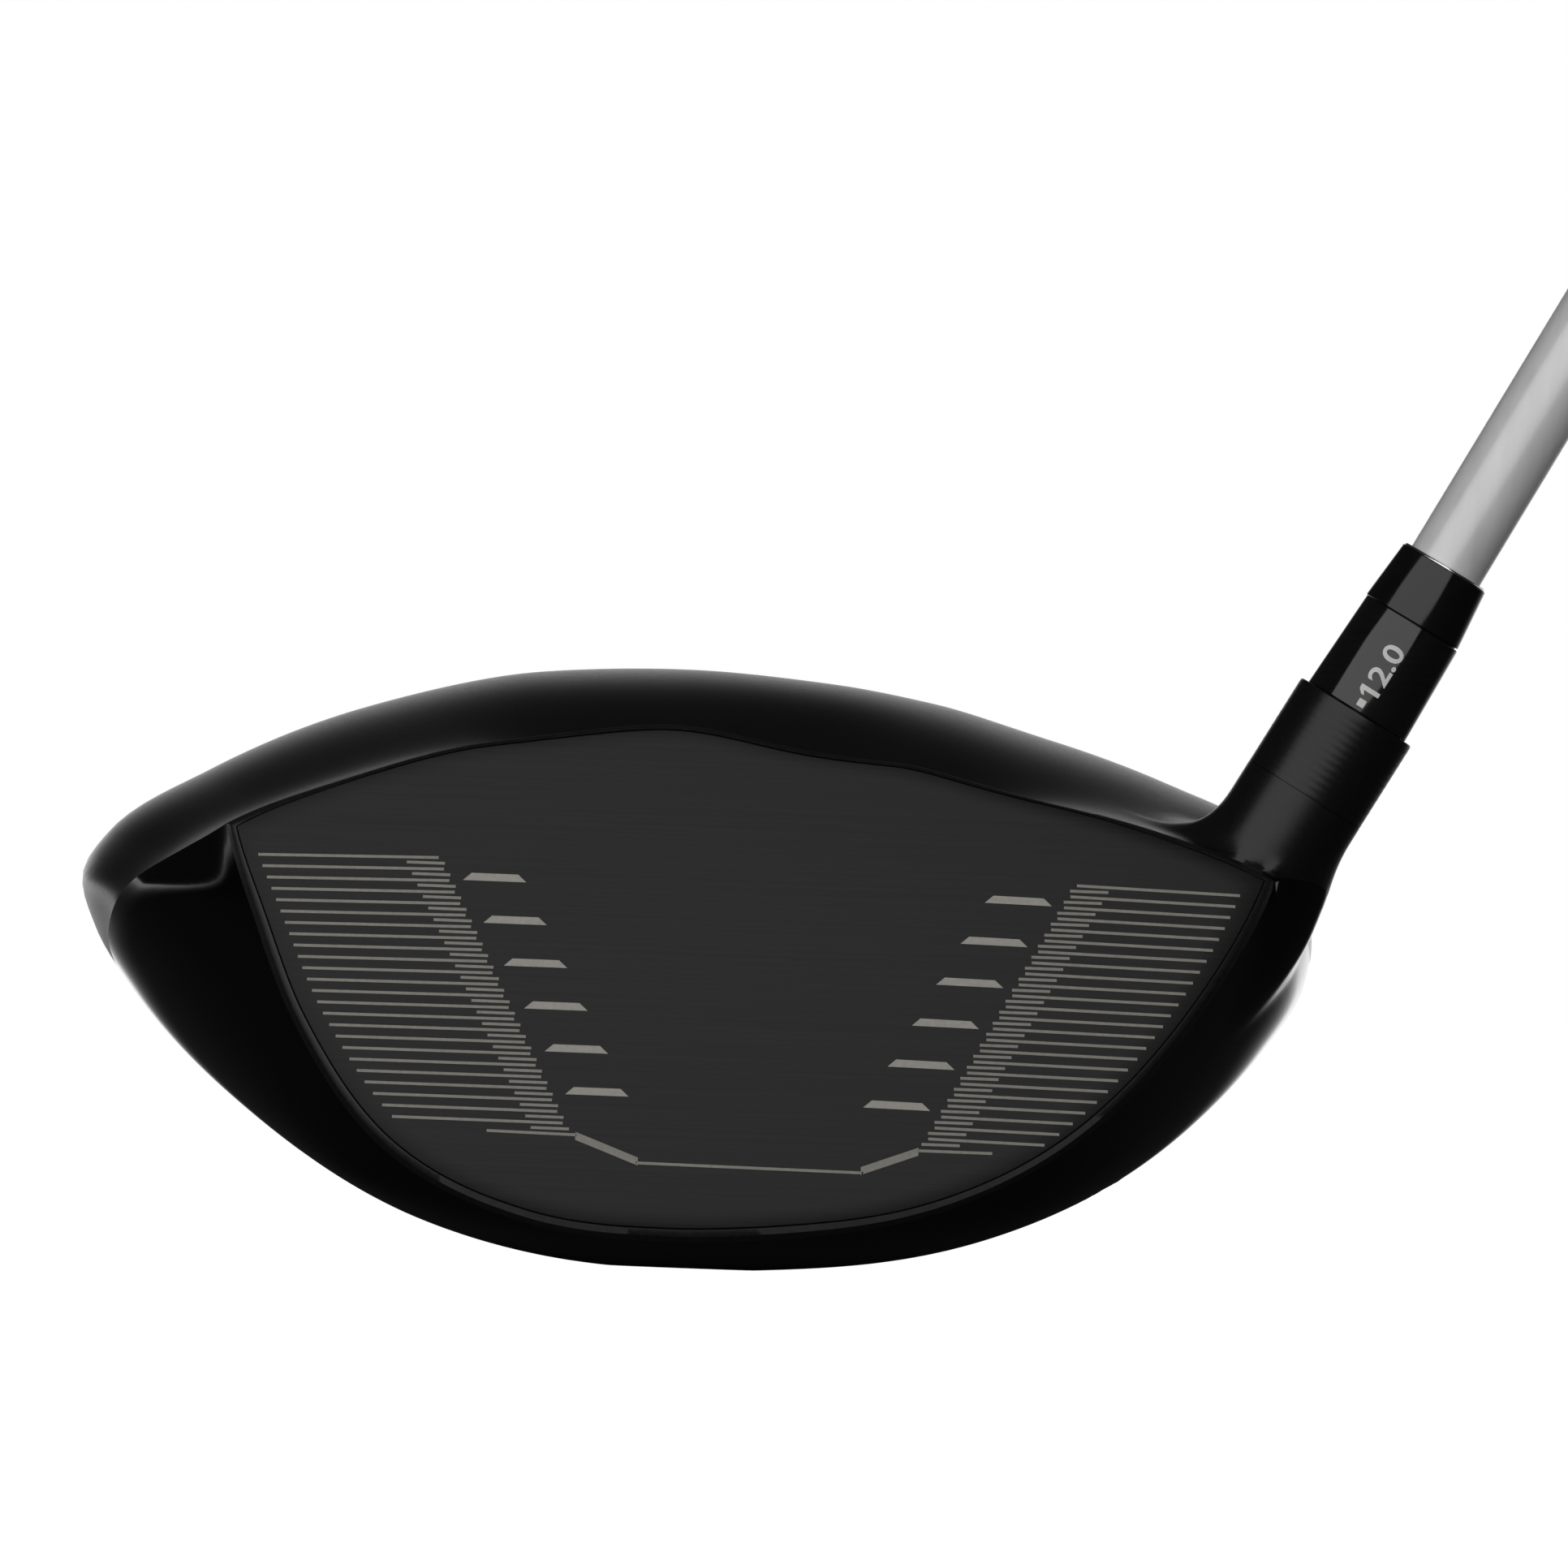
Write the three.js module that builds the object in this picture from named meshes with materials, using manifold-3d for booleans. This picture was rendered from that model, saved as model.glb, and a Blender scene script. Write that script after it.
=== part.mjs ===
// A right-handed golf driver: a hollow head with a face insert, crown, sole and movable weight, an
// adjustable hosel sleeve, and a tapered shaft with a rubber grip.
//
// Millimetres, +Z up. +X runs from toe to heel and the face looks towards -Y. The origin is the point of
// the sole that rests on the ground.

import * as THREE from "three";
import { mergeVertices } from "three/addons/utils/BufferGeometryUtils.js";
import Module from "manifold-3d";

const wasm = await Module();
wasm.setup();

// ---------------------------------------------------------------- driving dimensions

const GAP = 0.3;                    // space between pieces that touch
const DEG = Math.PI / 180;

// Head
const AXIS_Z = 32;                  // height of the front-to-back line that the head is drawn around
const TAIL_Y = 96;                  // rearmost point
const TAIL_DROP = 2;                // how far that line sinks towards the tail
const DROP_START_Y = 20;
const WALL = 1.6;
const SKIN_TOP_Y = 18;              // where the crown is highest, the sole lowest and the sides widest
const SKIN_LOW_Y = -10;
const SKIN_SIDE_Y = 33;
const RIDGE_HEEL = -9 * DEG;        // how far the ridges from the corners of the face sink, seen from
const RIDGE_TOE = 17 * DEG;         // the front, on their way back to the widest part
const RIDGE_HEEL_REACH = 35 * DEG;  // how far round the head each ridge is felt
const RIDGE_TOE_REACH = 60 * DEG;
const RIDGE_POWER = 1.7;            // how early they sink
const LOW_SIDE = 0.6;               // sine of the angle below which the skin takes its low side's shape
const FRONT_ROUNDING = [2, 3, 2.3]; // powers that shape the skin ahead of its widest part, at its top, low
const BACK_ROUNDING = [2, 2.6, 2];  // side and sides, and behind it
const TAIL_ROUNDING = [1.25, 2, 1.8];

// Face
const LOFT = 12 * DEG;
const BULGE_RADIUS = 305;
const FACE_X = 5;
const FACE_Z = 31;
const FACE_Y = -19;
const BAND_DEPTH = 1.0;             // setback of the chamfer round the insert
const BAND_LOW = 1.5;               // its width below the insert and above it
const BAND_TOP = 0.6;
const BAND_TURN = 0.1;              // sine of the angle where it starts to narrow upwards
const BAND_TURN_RANGE = 0.4;
const PLATE_MIDDLE = 3.0;           // thickness of the insert
const PLATE_RIM = 2.2;
const PLATE_SPACE = 3.4;

// Seams
const SEAM_Y = 30;                  // where the front frame ends, on the centre line and at the sides
const SEAM_SIDE_Y = 38;

// Hosel, sleeve and hosel screw, placed along the hosel axis from the hosel's top face
const HOSEL_TOP = new THREE.Vector3(69.65, -3, 62.4);
const HOSEL_LIE = 60 * DEG;
const HOSEL_R = 6.97;
const HOSEL_STRAIGHT = 10.5;
const NECK_R = 7.6;
const NECK_LENGTH = 38;
const NECK_FOOT = 6;
const TUBE_R = 6.6;
const BORE_R = 5.4;
const COLLAR_R = 6.2;
const COLLAR_DEPTH = 6;
const SEAT_TOP = -44;
const SEAT_THICK = 3;
const SEAT_HOLE_R = 2.9;
const PORT_R = 5.2;
const SCREW_R = 2.4;
const SCREW_TIP = -22;
const SCREW_HEAD_R = 3.9;
const SCREW_HEAD_H = 4;
const DRIVE_R = 2.1;                // socket for the wrench
const DRIVE_DEPTH = 2.6;
const WASHER_H = 0.9;
const RETAINER_R = 3.8;
const RETAINER_H = 1.5;
const SCREW_TRAVEL = 8.5;
const SLEEVE_BOTTOM = -30;
const SLEEVE_R = 5.0;
const SLEEVE_FLANGE_R = 6.12;
const SLEEVE_TOP_R = 5.75;
const SLEEVE_TOP = 11.3;
const TEETH = 12;
const TOOTH_ROOT_R = 4.95;
const TOOTH_TIP_R = 5.55;
const FERRULE_TOP = 18.4;
const FERRULE_TOP_R = 5.13;

// Shaft and grip, placed along the shaft axis from where it crosses the hosel axis
const SHAFT_LIE = 61 * DEG;
const CROSSING = 5;                 // height of that crossing above the hosel's top face
const CLUB_LENGTH = 1156;
const TIP_DEPTH = 30;
const TIP_R = 4.25;
const BUTT_R = 7.6;
const SHAFT_WALL = 1.0;
const TAPER_START = 60;
const GRIP_LENGTH = 265;
const GRIP_MOUTH_R = 9.9;
const GRIP_BUTT_R = 13.2;
const BUTT_FLARE = 0.3;             // share of the grip's taper that comes only near its butt
const TAPE_H = 0.3;
const CAP_H = 4;
const VENT_R = 1.5;
const PLUG_LENGTH = 14;

// Sole weight
const WEIGHT_Y = 60;
const WEIGHT_R = 9;
const WEIGHT_H = 5;
const BOSS_WALL = 1.8;
const INSERT_R = 4.2;
const INSERT_H = 6;
const WEIGHT_SCREW_R = 1.9;
const WEIGHT_HEAD_R = 3.4;
const WEIGHT_HEAD_H = 2.4;
const WEIGHT_WASHER_H = 0.6;

// Outlines seen from the front, as [x, z], counterclockwise from the heel.
const SILHOUETTE = [
  [65.2, 32], [65.6, 41.2], [60.0, 49.4], [50.6, 53.7], [37.3, 58.1], [24.7, 61.5], [13.9, 63.2],
  [0, 64.2], [-18.2, 63.4], [-37.0, 58.9], [-53.7, 51.5], [-64.2, 44.5], [-66.8, 40.2], [-65.3, 34.3],
  [-61.0, 27.7], [-47.4, 14.8], [-28.8, 4.2], [-12.8, 0.4], [0, -0.25], [12.8, 0.4], [32.8, 4.5],
  [53.3, 16.7], [61.3, 25.6],
];
const INSERT = [
  [60.4, 43.9], [50.8, 47.5], [37.6, 50.9], [20.1, 54.6], [-3.5, 57.6], [-23.4, 55.1], [-40.6, 49.8],
  [-50.0, 45.5], [-47.0, 37.5], [-41.9, 25.6], [-32.3, 12.9], [-17.2, 5.7], [-2.3, 4.3], [13.3, 5.4],
  [26.2, 8.2], [39.0, 14.8], [54.0, 31.5],
];
const HEEL_CORNER = 0;              // places in INSERT of its two sharp corners
const TOE_CORNER = 7;

// ---------------------------------------------------------------- solids

function closedMesh(positions, triangles) {
  const geometry = new THREE.BufferGeometry();
  geometry.setAttribute("position", new THREE.Float32BufferAttribute(positions, 3));
  geometry.setIndex(triangles);
  return geometry;
}

function toSolid(geometry) {
  const bare = geometry.clone();
  bare.deleteAttribute("normal");
  bare.deleteAttribute("uv");
  const merged = mergeVertices(bare, 1e-5);
  const corners = merged.index.array;
  const kept = [];
  for (let i = 0; i < corners.length; i += 3) {
    const [a, b, c] = [corners[i], corners[i + 1], corners[i + 2]];
    if (a !== b && b !== c && c !== a) kept.push(a, b, c);
  }
  const vertProperties = Float32Array.from(merged.attributes.position.array);
  const mesh = new wasm.Mesh({ numProp: 3, vertProperties, triVerts: Uint32Array.from(kept) });
  mesh.merge();
  return new wasm.Manifold(mesh);
}

function toGeometry(solid) {
  const { vertProperties, triVerts } = solid.getMesh();
  return closedMesh(Array.from(vertProperties), Array.from(triVerts));
}

// A body turned about Z from its [radius, z] outline, listed upwards on its outer side.
function turned(outline, sides = 32) {
  const points = outline.map(([radius, z]) => new THREE.Vector2(radius, z));
  return toSolid(new THREE.LatheGeometry(points, sides).rotateX(Math.PI / 2));
}

function rod(radius, bottom, top, sides = 32) {
  return turned([[0, bottom], [radius, bottom], [radius, top], [0, top]], sides);
}

function tube(outer, inner, bottom, top, sides = 32) {
  return turned([[inner, bottom], [outer, bottom], [outer, top], [inner, top], [inner, bottom]], sides);
}

function prism(points, depth) {
  const shape = new THREE.Shape(points.map(([x, y]) => new THREE.Vector2(x, y)));
  return new THREE.ExtrudeGeometry(shape, { depth, bevelEnabled: false });
}

// Rings of points from front to back, joined into one body and closed at both ends.
function lofted(rings) {
  const count = rings[0].length;
  const positions = rings.flat(2);
  const triangles = [];
  for (let k = 0; k + 1 < rings.length; k++) {
    for (let i = 0; i < count; i++) {
      const next = (i + 1) % count;
      const [a, b] = [k * count + i, k * count + next];
      triangles.push(a, a + count, b, b, a + count, b + count);
    }
  }
  const middle = (ring) => [0, 1, 2].map((axis) => ring.reduce((sum, p) => sum + p[axis], 0) / count);
  positions.push(...middle(rings[0]), ...middle(rings.at(-1)));
  const front = rings.length * count;
  const last = front - count;
  for (let i = 0; i < count; i++) {
    const next = (i + 1) % count;
    triangles.push(front, i, next, front + 1, last + next, last + i);
  }
  return toSolid(closedMesh(positions, triangles));
}

// ---------------------------------------------------------------- head surface

const blend = (from, to, share) => from + (to - from) * share;
const smooth = (share) => share * share * (3 - 2 * share);
const clamp = (value) => Math.min(1, Math.max(0, value));

// The radius round the head's line, as a smooth function of the angle, through an outline's points.
// The slope breaks at the corners.
function polar(points, corners = []) {
  const knots = points.map(([x, z]) => ({ a: Math.atan2(z - AXIS_Z, x), r: Math.hypot(x, z - AXIS_Z) }));
  for (let i = 1; i < knots.length; i++) while (knots[i].a < knots[i - 1].a) knots[i].a += 2 * Math.PI;
  const count = knots.length;
  const knot = (i) => {
    const turns = Math.floor(i / count);
    const { a, r } = knots[i - turns * count];
    return { a: a + turns * 2 * Math.PI, r };
  };
  const width = (i) => knot(i + 1).a - knot(i).a;
  const chord = (i) => (knot(i + 1).r - knot(i).r) / width(i);
  const slope = (i, side) => {
    if (corners.includes(((i % count) + count) % count)) return chord(side > 0 ? i : i - 1);
    return (chord(i) * width(i - 1) + chord(i - 1) * width(i)) / (width(i - 1) + width(i));
  };
  return (angle) => {
    let a = angle;
    while (a < knots[0].a) a += 2 * Math.PI;
    while (a >= knots[0].a + 2 * Math.PI) a -= 2 * Math.PI;
    let i = 0;
    while (knot(i + 1).a <= a) i++;
    const [p, q] = [knot(i), knot(i + 1)];
    const span = q.a - p.a;
    const t = (a - p.a) / span;
    const ease = smooth(t);
    return blend(p.r, q.r, ease) + span * t * (1 - t) * (slope(i, 1) * (1 - t) - slope(i + 1, -1) * t);
  };
}

const widest = polar(SILHOUETTE);
const insert = polar(INSERT, [HEEL_CORNER, TOE_CORNER]);
const angleOf = ([x, z]) => Math.atan2(z - AXIS_Z, x);
const HEEL_ANGLE = angleOf(INSERT[HEEL_CORNER]);
const TOE_ANGLE = angleOf(INSERT[TOE_CORNER]);

const TAIL_TIP_R = 0.4;               // the skin never gets nearer to the head's line than this

// Angles round the head, with both corners of the insert among them.
const UPPER_STEPS = 30;
const LOWER_STEPS = 42;
const ANGLES = [
  ...Array.from({ length: UPPER_STEPS }, (_, i) => blend(HEEL_ANGLE, TOE_ANGLE, i / UPPER_STEPS)),
  ...Array.from({ length: LOWER_STEPS }, (_, i) =>
    blend(TOE_ANGLE, HEEL_ANGLE + 2 * Math.PI, i / LOWER_STEPS)),
];

function faceY(x, z) {
  const [across, up] = [x - FACE_X, z - FACE_Z];
  return FACE_Y + up * Math.tan(LOFT) + (across * across + up * up) / (2 * BULGE_RADIUS);
}

function spot(angle, radius, y) {
  return [radius * Math.cos(angle), y, AXIS_Z + radius * Math.sin(angle)];
}

function onFace(angle, radius, behind) {
  const [x, , z] = spot(angle, radius, 0);
  return [x, faceY(x, z) + behind, z];
}

// A value that varies round the head from its top, through its sides, to its low side.
function mix(angle, top, low, side) {
  const up = Math.sin(angle);
  return up > 0 ? blend(side, top, up * up) : blend(side, low, smooth(clamp(-up / LOW_SIDE)));
}

// How far the ridges from the two corners of the face turn the skin round the head's line.
function ridge(angle, corner, turn, reach) {
  const off = Math.atan2(Math.sin(angle - corner), Math.cos(angle - corner)) / reach;
  return Math.abs(off) < 1 ? turn * (1 - off * off) ** 2 : 0;
}

function turnedBy(angle, run) {
  const share = 1 - (1 - Math.min(run, 1)) ** RIDGE_POWER;
  const heel = ridge(angle, HEEL_ANGLE, RIDGE_HEEL, RIDGE_HEEL_REACH);
  return share * (heel + ridge(angle, TOE_ANGLE, RIDGE_TOE, RIDGE_TOE_REACH));
}

function bandWidth(angle) {
  return blend(BAND_LOW, BAND_TOP, smooth(clamp((Math.sin(angle) - BAND_TURN) / BAND_TURN_RANGE)));
}

function lineDrop(y) {
  return TAIL_DROP * smooth(clamp((y - DROP_START_Y) / (TAIL_Y - DROP_START_Y)));
}

// A point of the head's skin: run goes from 0 at the edge of the face through 1 where the head is widest
// to 2 at the tail. inward is how far inside the skin the point lies.
function skin(start, run, inward = 0) {
  const edgeR = insert(start) + bandWidth(start);
  const edgeY = onFace(start, edgeR, BAND_DEPTH)[1];
  const angle = start + turnedBy(start, run);
  const wideR = widest(angle);
  const wideY = mix(angle, SKIN_TOP_Y, SKIN_LOW_Y, SKIN_SIDE_Y);
  let y, radius;
  if (run <= 1) {
    y = blend(edgeY, wideY, run);
    radius = blend(edgeR, wideR, 1 - (1 - run) ** mix(angle, ...FRONT_ROUNDING));
  } else {
    const back = Math.sin((run - 1) * Math.PI / 2);
    y = blend(wideY, TAIL_Y, back);
    radius = wideR * (1 - back ** mix(angle, ...BACK_ROUNDING)) ** (1 / mix(angle, ...TAIL_ROUNDING));
  }
  const [x, , z] = spot(angle, Math.max(radius - inward, TAIL_TIP_R), 0);
  return [x, y, z - lineDrop(y)];
}

const ring = (point) => ANGLES.map(point);
const FACE_SHARES = [0.35, 0.7, 1];   // rings from the middle of the face to its edge
const RUNS_FRONT = [0.12, 0.3, 0.5, 0.75, 1];
const RUNS_BACK = [1.15, 1.3, 1.45, 1.6, 1.75, 1.87, 1.96];
const CAVITY_BACK = [1.15, 1.3, 1.45, 1.6, 1.72];
const CAVITY_RIM = 3.4;             // how far the cavity's front edge lies inside the face's edge
const CAVITY_EXTRA = 0.2;           // added to the wall next to the face

const outside = lofted([
  ...FACE_SHARES.map((share) => ring((a) => onFace(a, insert(a) * share, 0))),
  ...[0, ...RUNS_FRONT, ...RUNS_BACK].map((run) => ring((a) => skin(a, run))),
]);

function cavity(inward) {
  const depth = PLATE_SPACE + CAVITY_EXTRA + inward;
  const walls = [...RUNS_FRONT, ...CAVITY_BACK].map((run) =>
    ring((a) => skin(a, run, run === RUNS_FRONT[0] ? inward + CAVITY_EXTRA : inward)));
  return lofted([ring((a) => onFace(a, insert(a) + bandWidth(a) - CAVITY_RIM - inward, depth)), ...walls]);
}

// Further out than anything in the head.
const FAR = 200;

// Everything behind the seam between the front frame and the rest.
function behindSeam(clearance) {
  const seam = ring((angle) => {
    const [x, , z] = spot(angle, FAR, 0);
    return [x, mix(angle, SEAM_Y, SEAM_Y, SEAM_SIDE_Y) + clearance, z];
  });
  return lofted([seam, seam.map(([x, , z]) => [x, FAR, z])]);
}

// Everything above the ridges that run back from the corners of the face, where crown and sole meet.
function aboveSeam(clearance) {
  const stations = [0.9, ...RUNS_BACK, 2];
  const rings = stations.map((run) => {
    const [heel, toe] = [HEEL_ANGLE, TOE_ANGLE].map((start) => skin(start, run));
    const lineZ = AXIS_Z - lineDrop(heel[1]);
    const ray = ([x, y, z]) => [x * FAR / Math.abs(x), y, lineZ + (z - lineZ) * FAR / Math.abs(x)];
    const middle = [0, (heel[1] + toe[1]) / 2, lineZ];
    const outline = [ray(heel), [FAR, heel[1], FAR], [-FAR, toe[1], FAR], ray(toe), middle];
    return outline.map(([x, y, z]) => [x, y, z + clearance]);
  });
  const behindTail = rings.at(-1).map(([x, , z]) => [x, TAIL_Y + FAR / 4, z]);
  return lofted([...rings, behindTail]);
}

const aboveGround = toSolid(new THREE.BoxGeometry(FAR * 2, FAR * 2, FAR).translate(0, 0, FAR / 2));
const shell = outside.subtract(cavity(WALL)).intersect(aboveGround);

// ---------------------------------------------------------------- placing things on a slanted axis

// The turn that takes +Z to a direction in the XZ plane rising at the angle lie.
const leaning = (lie) => new THREE.Matrix4().makeRotationY(Math.PI / 2 - lie);

function placed(solid, origin, lie) {
  const matrix = leaning(lie).setPosition(origin);
  return toSolid(toGeometry(solid).applyMatrix4(matrix));
}

const HOSEL_DIRECTION = new THREE.Vector3(Math.cos(HOSEL_LIE), 0, Math.sin(HOSEL_LIE));
const SHAFT_ORIGIN = HOSEL_TOP.clone().addScaledVector(HOSEL_DIRECTION, CROSSING);
const onHosel = (solid) => placed(solid, HOSEL_TOP, HOSEL_LIE);
const onShaft = (solid) => placed(solid, SHAFT_ORIGIN, SHAFT_LIE);

const parts = new THREE.Group();

function add(name, solid, color, roughness, metalness) {
  const material = new THREE.MeshStandardMaterial({ color, roughness, metalness });
  const mesh = new THREE.Mesh(toGeometry(solid), material);
  mesh.name = name;
  parts.add(mesh);
}

// ---------------------------------------------------------------- head pieces

const PORT_END = -FAR / 2;

function frontFrame() {
  const neck = onHosel(turned([
    [0, -NECK_LENGTH], [NECK_R, -NECK_LENGTH], [NECK_R, -NECK_LENGTH + NECK_FOOT],
    [HOSEL_R, -HOSEL_STRAIGHT], [HOSEL_R, 0], [0, 0],
  ]));
  const innerTube = onHosel(rod(TUBE_R, PORT_END, -NECK_LENGTH + 1)).intersect(outside).intersect(aboveGround);
  const bores = [
    rod(COLLAR_R, -COLLAR_DEPTH, 1),
    rod(BORE_R, SEAT_TOP, 0),
    rod(SEAT_HOLE_R, SEAT_TOP - SEAT_THICK - 1, SEAT_TOP + 1),
    rod(PORT_R, PORT_END, SEAT_TOP - SEAT_THICK),
  ];
  const opening = lofted([
    ring((a) => spot(a, insert(a) + GAP, -FAR)),
    ring((a) => onFace(a, insert(a) + GAP, PLATE_SPACE)),
  ]);
  let frame = shell.add(neck).add(innerTube).subtract(opening);
  for (const bore of bores) frame = frame.subtract(onHosel(bore));
  return frame.subtract(behindSeam(-GAP / 2));
}

function facePlate() {
  const behind = (share) => blend(PLATE_MIDDLE, PLATE_RIM, smooth(share));
  return lofted([
    ...FACE_SHARES.map((share) => ring((a) => onFace(a, insert(a) * share, 0))),
    ...FACE_SHARES.toReversed().map((share) => ring((a) => onFace(a, insert(a) * share, behind(share)))),
  ]);
}

const behindFrame = behindSeam(GAP / 2);

// The weight's axis stands square to the sole at its place.
const soleZ = (y) => {
  const down = -Math.PI / 2;
  let run = 1;
  while (skin(down, run)[1] < y) run += 0.001;
  return skin(down, run)[2];
};
const SOLE_SLOPE = Math.atan2(soleZ(WEIGHT_Y + 1) - soleZ(WEIGHT_Y - 1), 2);
const WEIGHT_SINK = 0.4;

// Weight pieces are drawn with +Z into the head and 0 at the weight's outer face.
function onWeight(solid) {
  const place = new THREE.Matrix4().makeRotationX(SOLE_SLOPE);
  place.setPosition(0, WEIGHT_Y, soleZ(WEIGHT_Y) + WEIGHT_SINK);
  return toSolid(toGeometry(solid).applyMatrix4(place));
}

function soleShell() {
  const bossTop = WEIGHT_H + GAP + INSERT_H;
  const boss = onWeight(turned([
    [0, -3], [WEIGHT_R + GAP + BOSS_WALL, -3], [WEIGHT_R + GAP + BOSS_WALL, WEIGHT_H + GAP + BOSS_WALL],
    [INSERT_R + GAP + BOSS_WALL, WEIGHT_H + GAP + BOSS_WALL + 2], [INSERT_R + GAP + BOSS_WALL, bossTop],
    [0, bossTop],
  ]));
  const pocket = onWeight(rod(WEIGHT_R + GAP, -10, WEIGHT_H + GAP));
  const insertHole = onWeight(rod(INSERT_R + GAP, WEIGHT_H, bossTop + 1, 20));
  return shell.subtract(aboveSeam(-GAP / 2)).add(boss.intersect(outside)).subtract(pocket)
    .subtract(insertHole).intersect(behindFrame);
}

function hotMelt() {
  const dab = new THREE.SphereGeometry(12, 20, 10).scale(1, 0.8, 0.4).translate(-14, 34, 1);
  return toSolid(dab).intersect(cavity(WALL + GAP)).intersect(behindSeam(2));
}

add("front_frame", frontFrame(), 0x1c1c1e, 0.5, 0.3);
add("face_plate", facePlate(), 0x3a3a3b, 0.42, 0.8);
add("crown_panel", shell.intersect(behindFrame).intersect(aboveSeam(GAP / 2)), 0x1b1b1d, 0.55, 0.1);
add("sole_shell", soleShell(), 0x050506, 0.12, 0.1);
add("hot_melt", hotMelt(), 0xd8cfa8, 0.6, 0);

// ---------------------------------------------------------------- sole weight

function socketHead(radius, height, shankR, shankEnd, driveR, driveDepth) {
  const body = turned([
    [0, 0], [radius, 0], [radius, height], [shankR, height], [shankR, shankEnd], [0, shankEnd],
  ], 24);
  return body.subtract(rod(driveR, -1, driveDepth, 6));
}

const HEAD_FLOOR = WEIGHT_H - 1.6;   // where the screw head's washer sits in the weight
const HEAD_PLAY = 0.6;              // space round the screw's head in the weight
const WEIGHT_BEVEL = 0.5;
const WEIGHT_DRIVE_R = 1.5;
const WEIGHT_DRIVE_DEPTH = 1.4;
const headFace = HEAD_FLOOR - GAP * 2 - WEIGHT_WASHER_H - WEIGHT_HEAD_H;

add("thread_insert", onWeight(tube(INSERT_R, WEIGHT_SCREW_R + GAP,
  WEIGHT_H + GAP * 2, WEIGHT_H + INSERT_H, 20)), 0x9a9c9e, 0.4, 0.9);
add("sole_weight", onWeight(turned([
  [WEIGHT_SCREW_R + GAP, HEAD_FLOOR], [WEIGHT_HEAD_R + HEAD_PLAY, HEAD_FLOOR],
  [WEIGHT_HEAD_R + HEAD_PLAY, 0], [WEIGHT_R - WEIGHT_BEVEL, 0], [WEIGHT_R, WEIGHT_BEVEL],
  [WEIGHT_R, WEIGHT_H], [WEIGHT_SCREW_R + GAP, WEIGHT_H], [WEIGHT_SCREW_R + GAP, HEAD_FLOOR],
])), 0x6d6f72, 0.35, 0.9);
add("weight_washer", onWeight(tube(WEIGHT_HEAD_R, WEIGHT_SCREW_R + GAP,
  HEAD_FLOOR - GAP - WEIGHT_WASHER_H, HEAD_FLOOR - GAP, 24)), 0x8c8e90, 0.4, 0.9);
add("weight_screw", onWeight(socketHead(WEIGHT_HEAD_R, WEIGHT_HEAD_H, WEIGHT_SCREW_R,
  WEIGHT_H + INSERT_H - headFace, WEIGHT_DRIVE_R, WEIGHT_DRIVE_DEPTH).translate(0, 0, headFace)),
  0x2a2b2d, 0.35, 0.9);

// ---------------------------------------------------------------- hosel screw

const seatFace = SEAT_TOP - SEAT_THICK;
const washerTop = seatFace - GAP;
const screwHeadTop = washerTop - WASHER_H - GAP;
const screwHeadFace = screwHeadTop - SCREW_HEAD_H;

add("hosel_screw", onHosel(socketHead(SCREW_HEAD_R, SCREW_HEAD_H, SCREW_R, SCREW_TIP - screwHeadFace,
  DRIVE_R, DRIVE_DEPTH).translate(0, 0, screwHeadFace)), 0x2b2c2e, 0.35, 0.9);
add("screw_washer", onHosel(tube(SCREW_HEAD_R + 0.3, SCREW_R + GAP, washerTop - WASHER_H, washerTop, 24)),
  0xa8aaac, 0.35, 0.9);
add("screw_retainer", onHosel(tube(RETAINER_R, SCREW_R + GAP, SEAT_TOP + SCREW_TRAVEL,
  SEAT_TOP + SCREW_TRAVEL + RETAINER_H, 24)), 0xd9d6cc, 0.5, 0);

// ---------------------------------------------------------------- sleeve and ferrule

// A rod with index teeth, from bottom to top.
function toothed(rootR, tipR, bottom, top) {
  const points = [];
  for (let i = 0; i < TEETH; i++) {
    for (const [turn, radius] of [[-0.32, rootR], [-0.18, tipR], [0.18, tipR], [0.32, rootR]]) {
      const angle = (i + turn) * 2 * Math.PI / TEETH;
      points.push([radius * Math.cos(angle), radius * Math.sin(angle)]);
    }
  }
  return toSolid(prism(points, top - bottom).translate(0, 0, bottom));
}

const shaftR = (along) => blend(TIP_R, BUTT_R, clamp((along - TAPER_START) / (BUTT_S - TAPER_START)));
const BUTT_S = CLUB_LENGTH - SHAFT_ORIGIN.z / Math.sin(SHAFT_LIE);
const shaftHole = onShaft(rod(TIP_R + GAP, -TIP_DEPTH + CROSSING - GAP, SLEEVE_TOP + 20, 24));

function hoselSleeve() {
  const body = turned([
    [0, SLEEVE_BOTTOM], [SLEEVE_R - 0.6, SLEEVE_BOTTOM], [SLEEVE_R - 0.1, SLEEVE_BOTTOM + 1],
    [SLEEVE_R - 0.1, GAP], [SLEEVE_FLANGE_R - 0.3, GAP], [SLEEVE_FLANGE_R, GAP + 0.3],
    [SLEEVE_TOP_R, SLEEVE_TOP], [0, SLEEVE_TOP],
  ]);
  const teeth = toothed(TOOTH_ROOT_R - 0.3, TOOTH_TIP_R - 0.2, -COLLAR_DEPTH + 1, GAP + 1);
  const thread = rod(SCREW_R + GAP, SLEEVE_BOTTOM - 1, SCREW_TIP + 1, 20);
  return onHosel(body.add(teeth).subtract(thread)).subtract(shaftHole);
}

function cogRing() {
  const ringBody = rod(COLLAR_R - GAP, -COLLAR_DEPTH + GAP, -GAP);
  return onHosel(ringBody.subtract(toothed(TOOTH_ROOT_R + 0.2, TOOTH_TIP_R + 0.1, -COLLAR_DEPTH, 0)));
}

const ferruleBottom = SLEEVE_TOP + GAP - CROSSING;
const ferruleTop = FERRULE_TOP - CROSSING;

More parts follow.
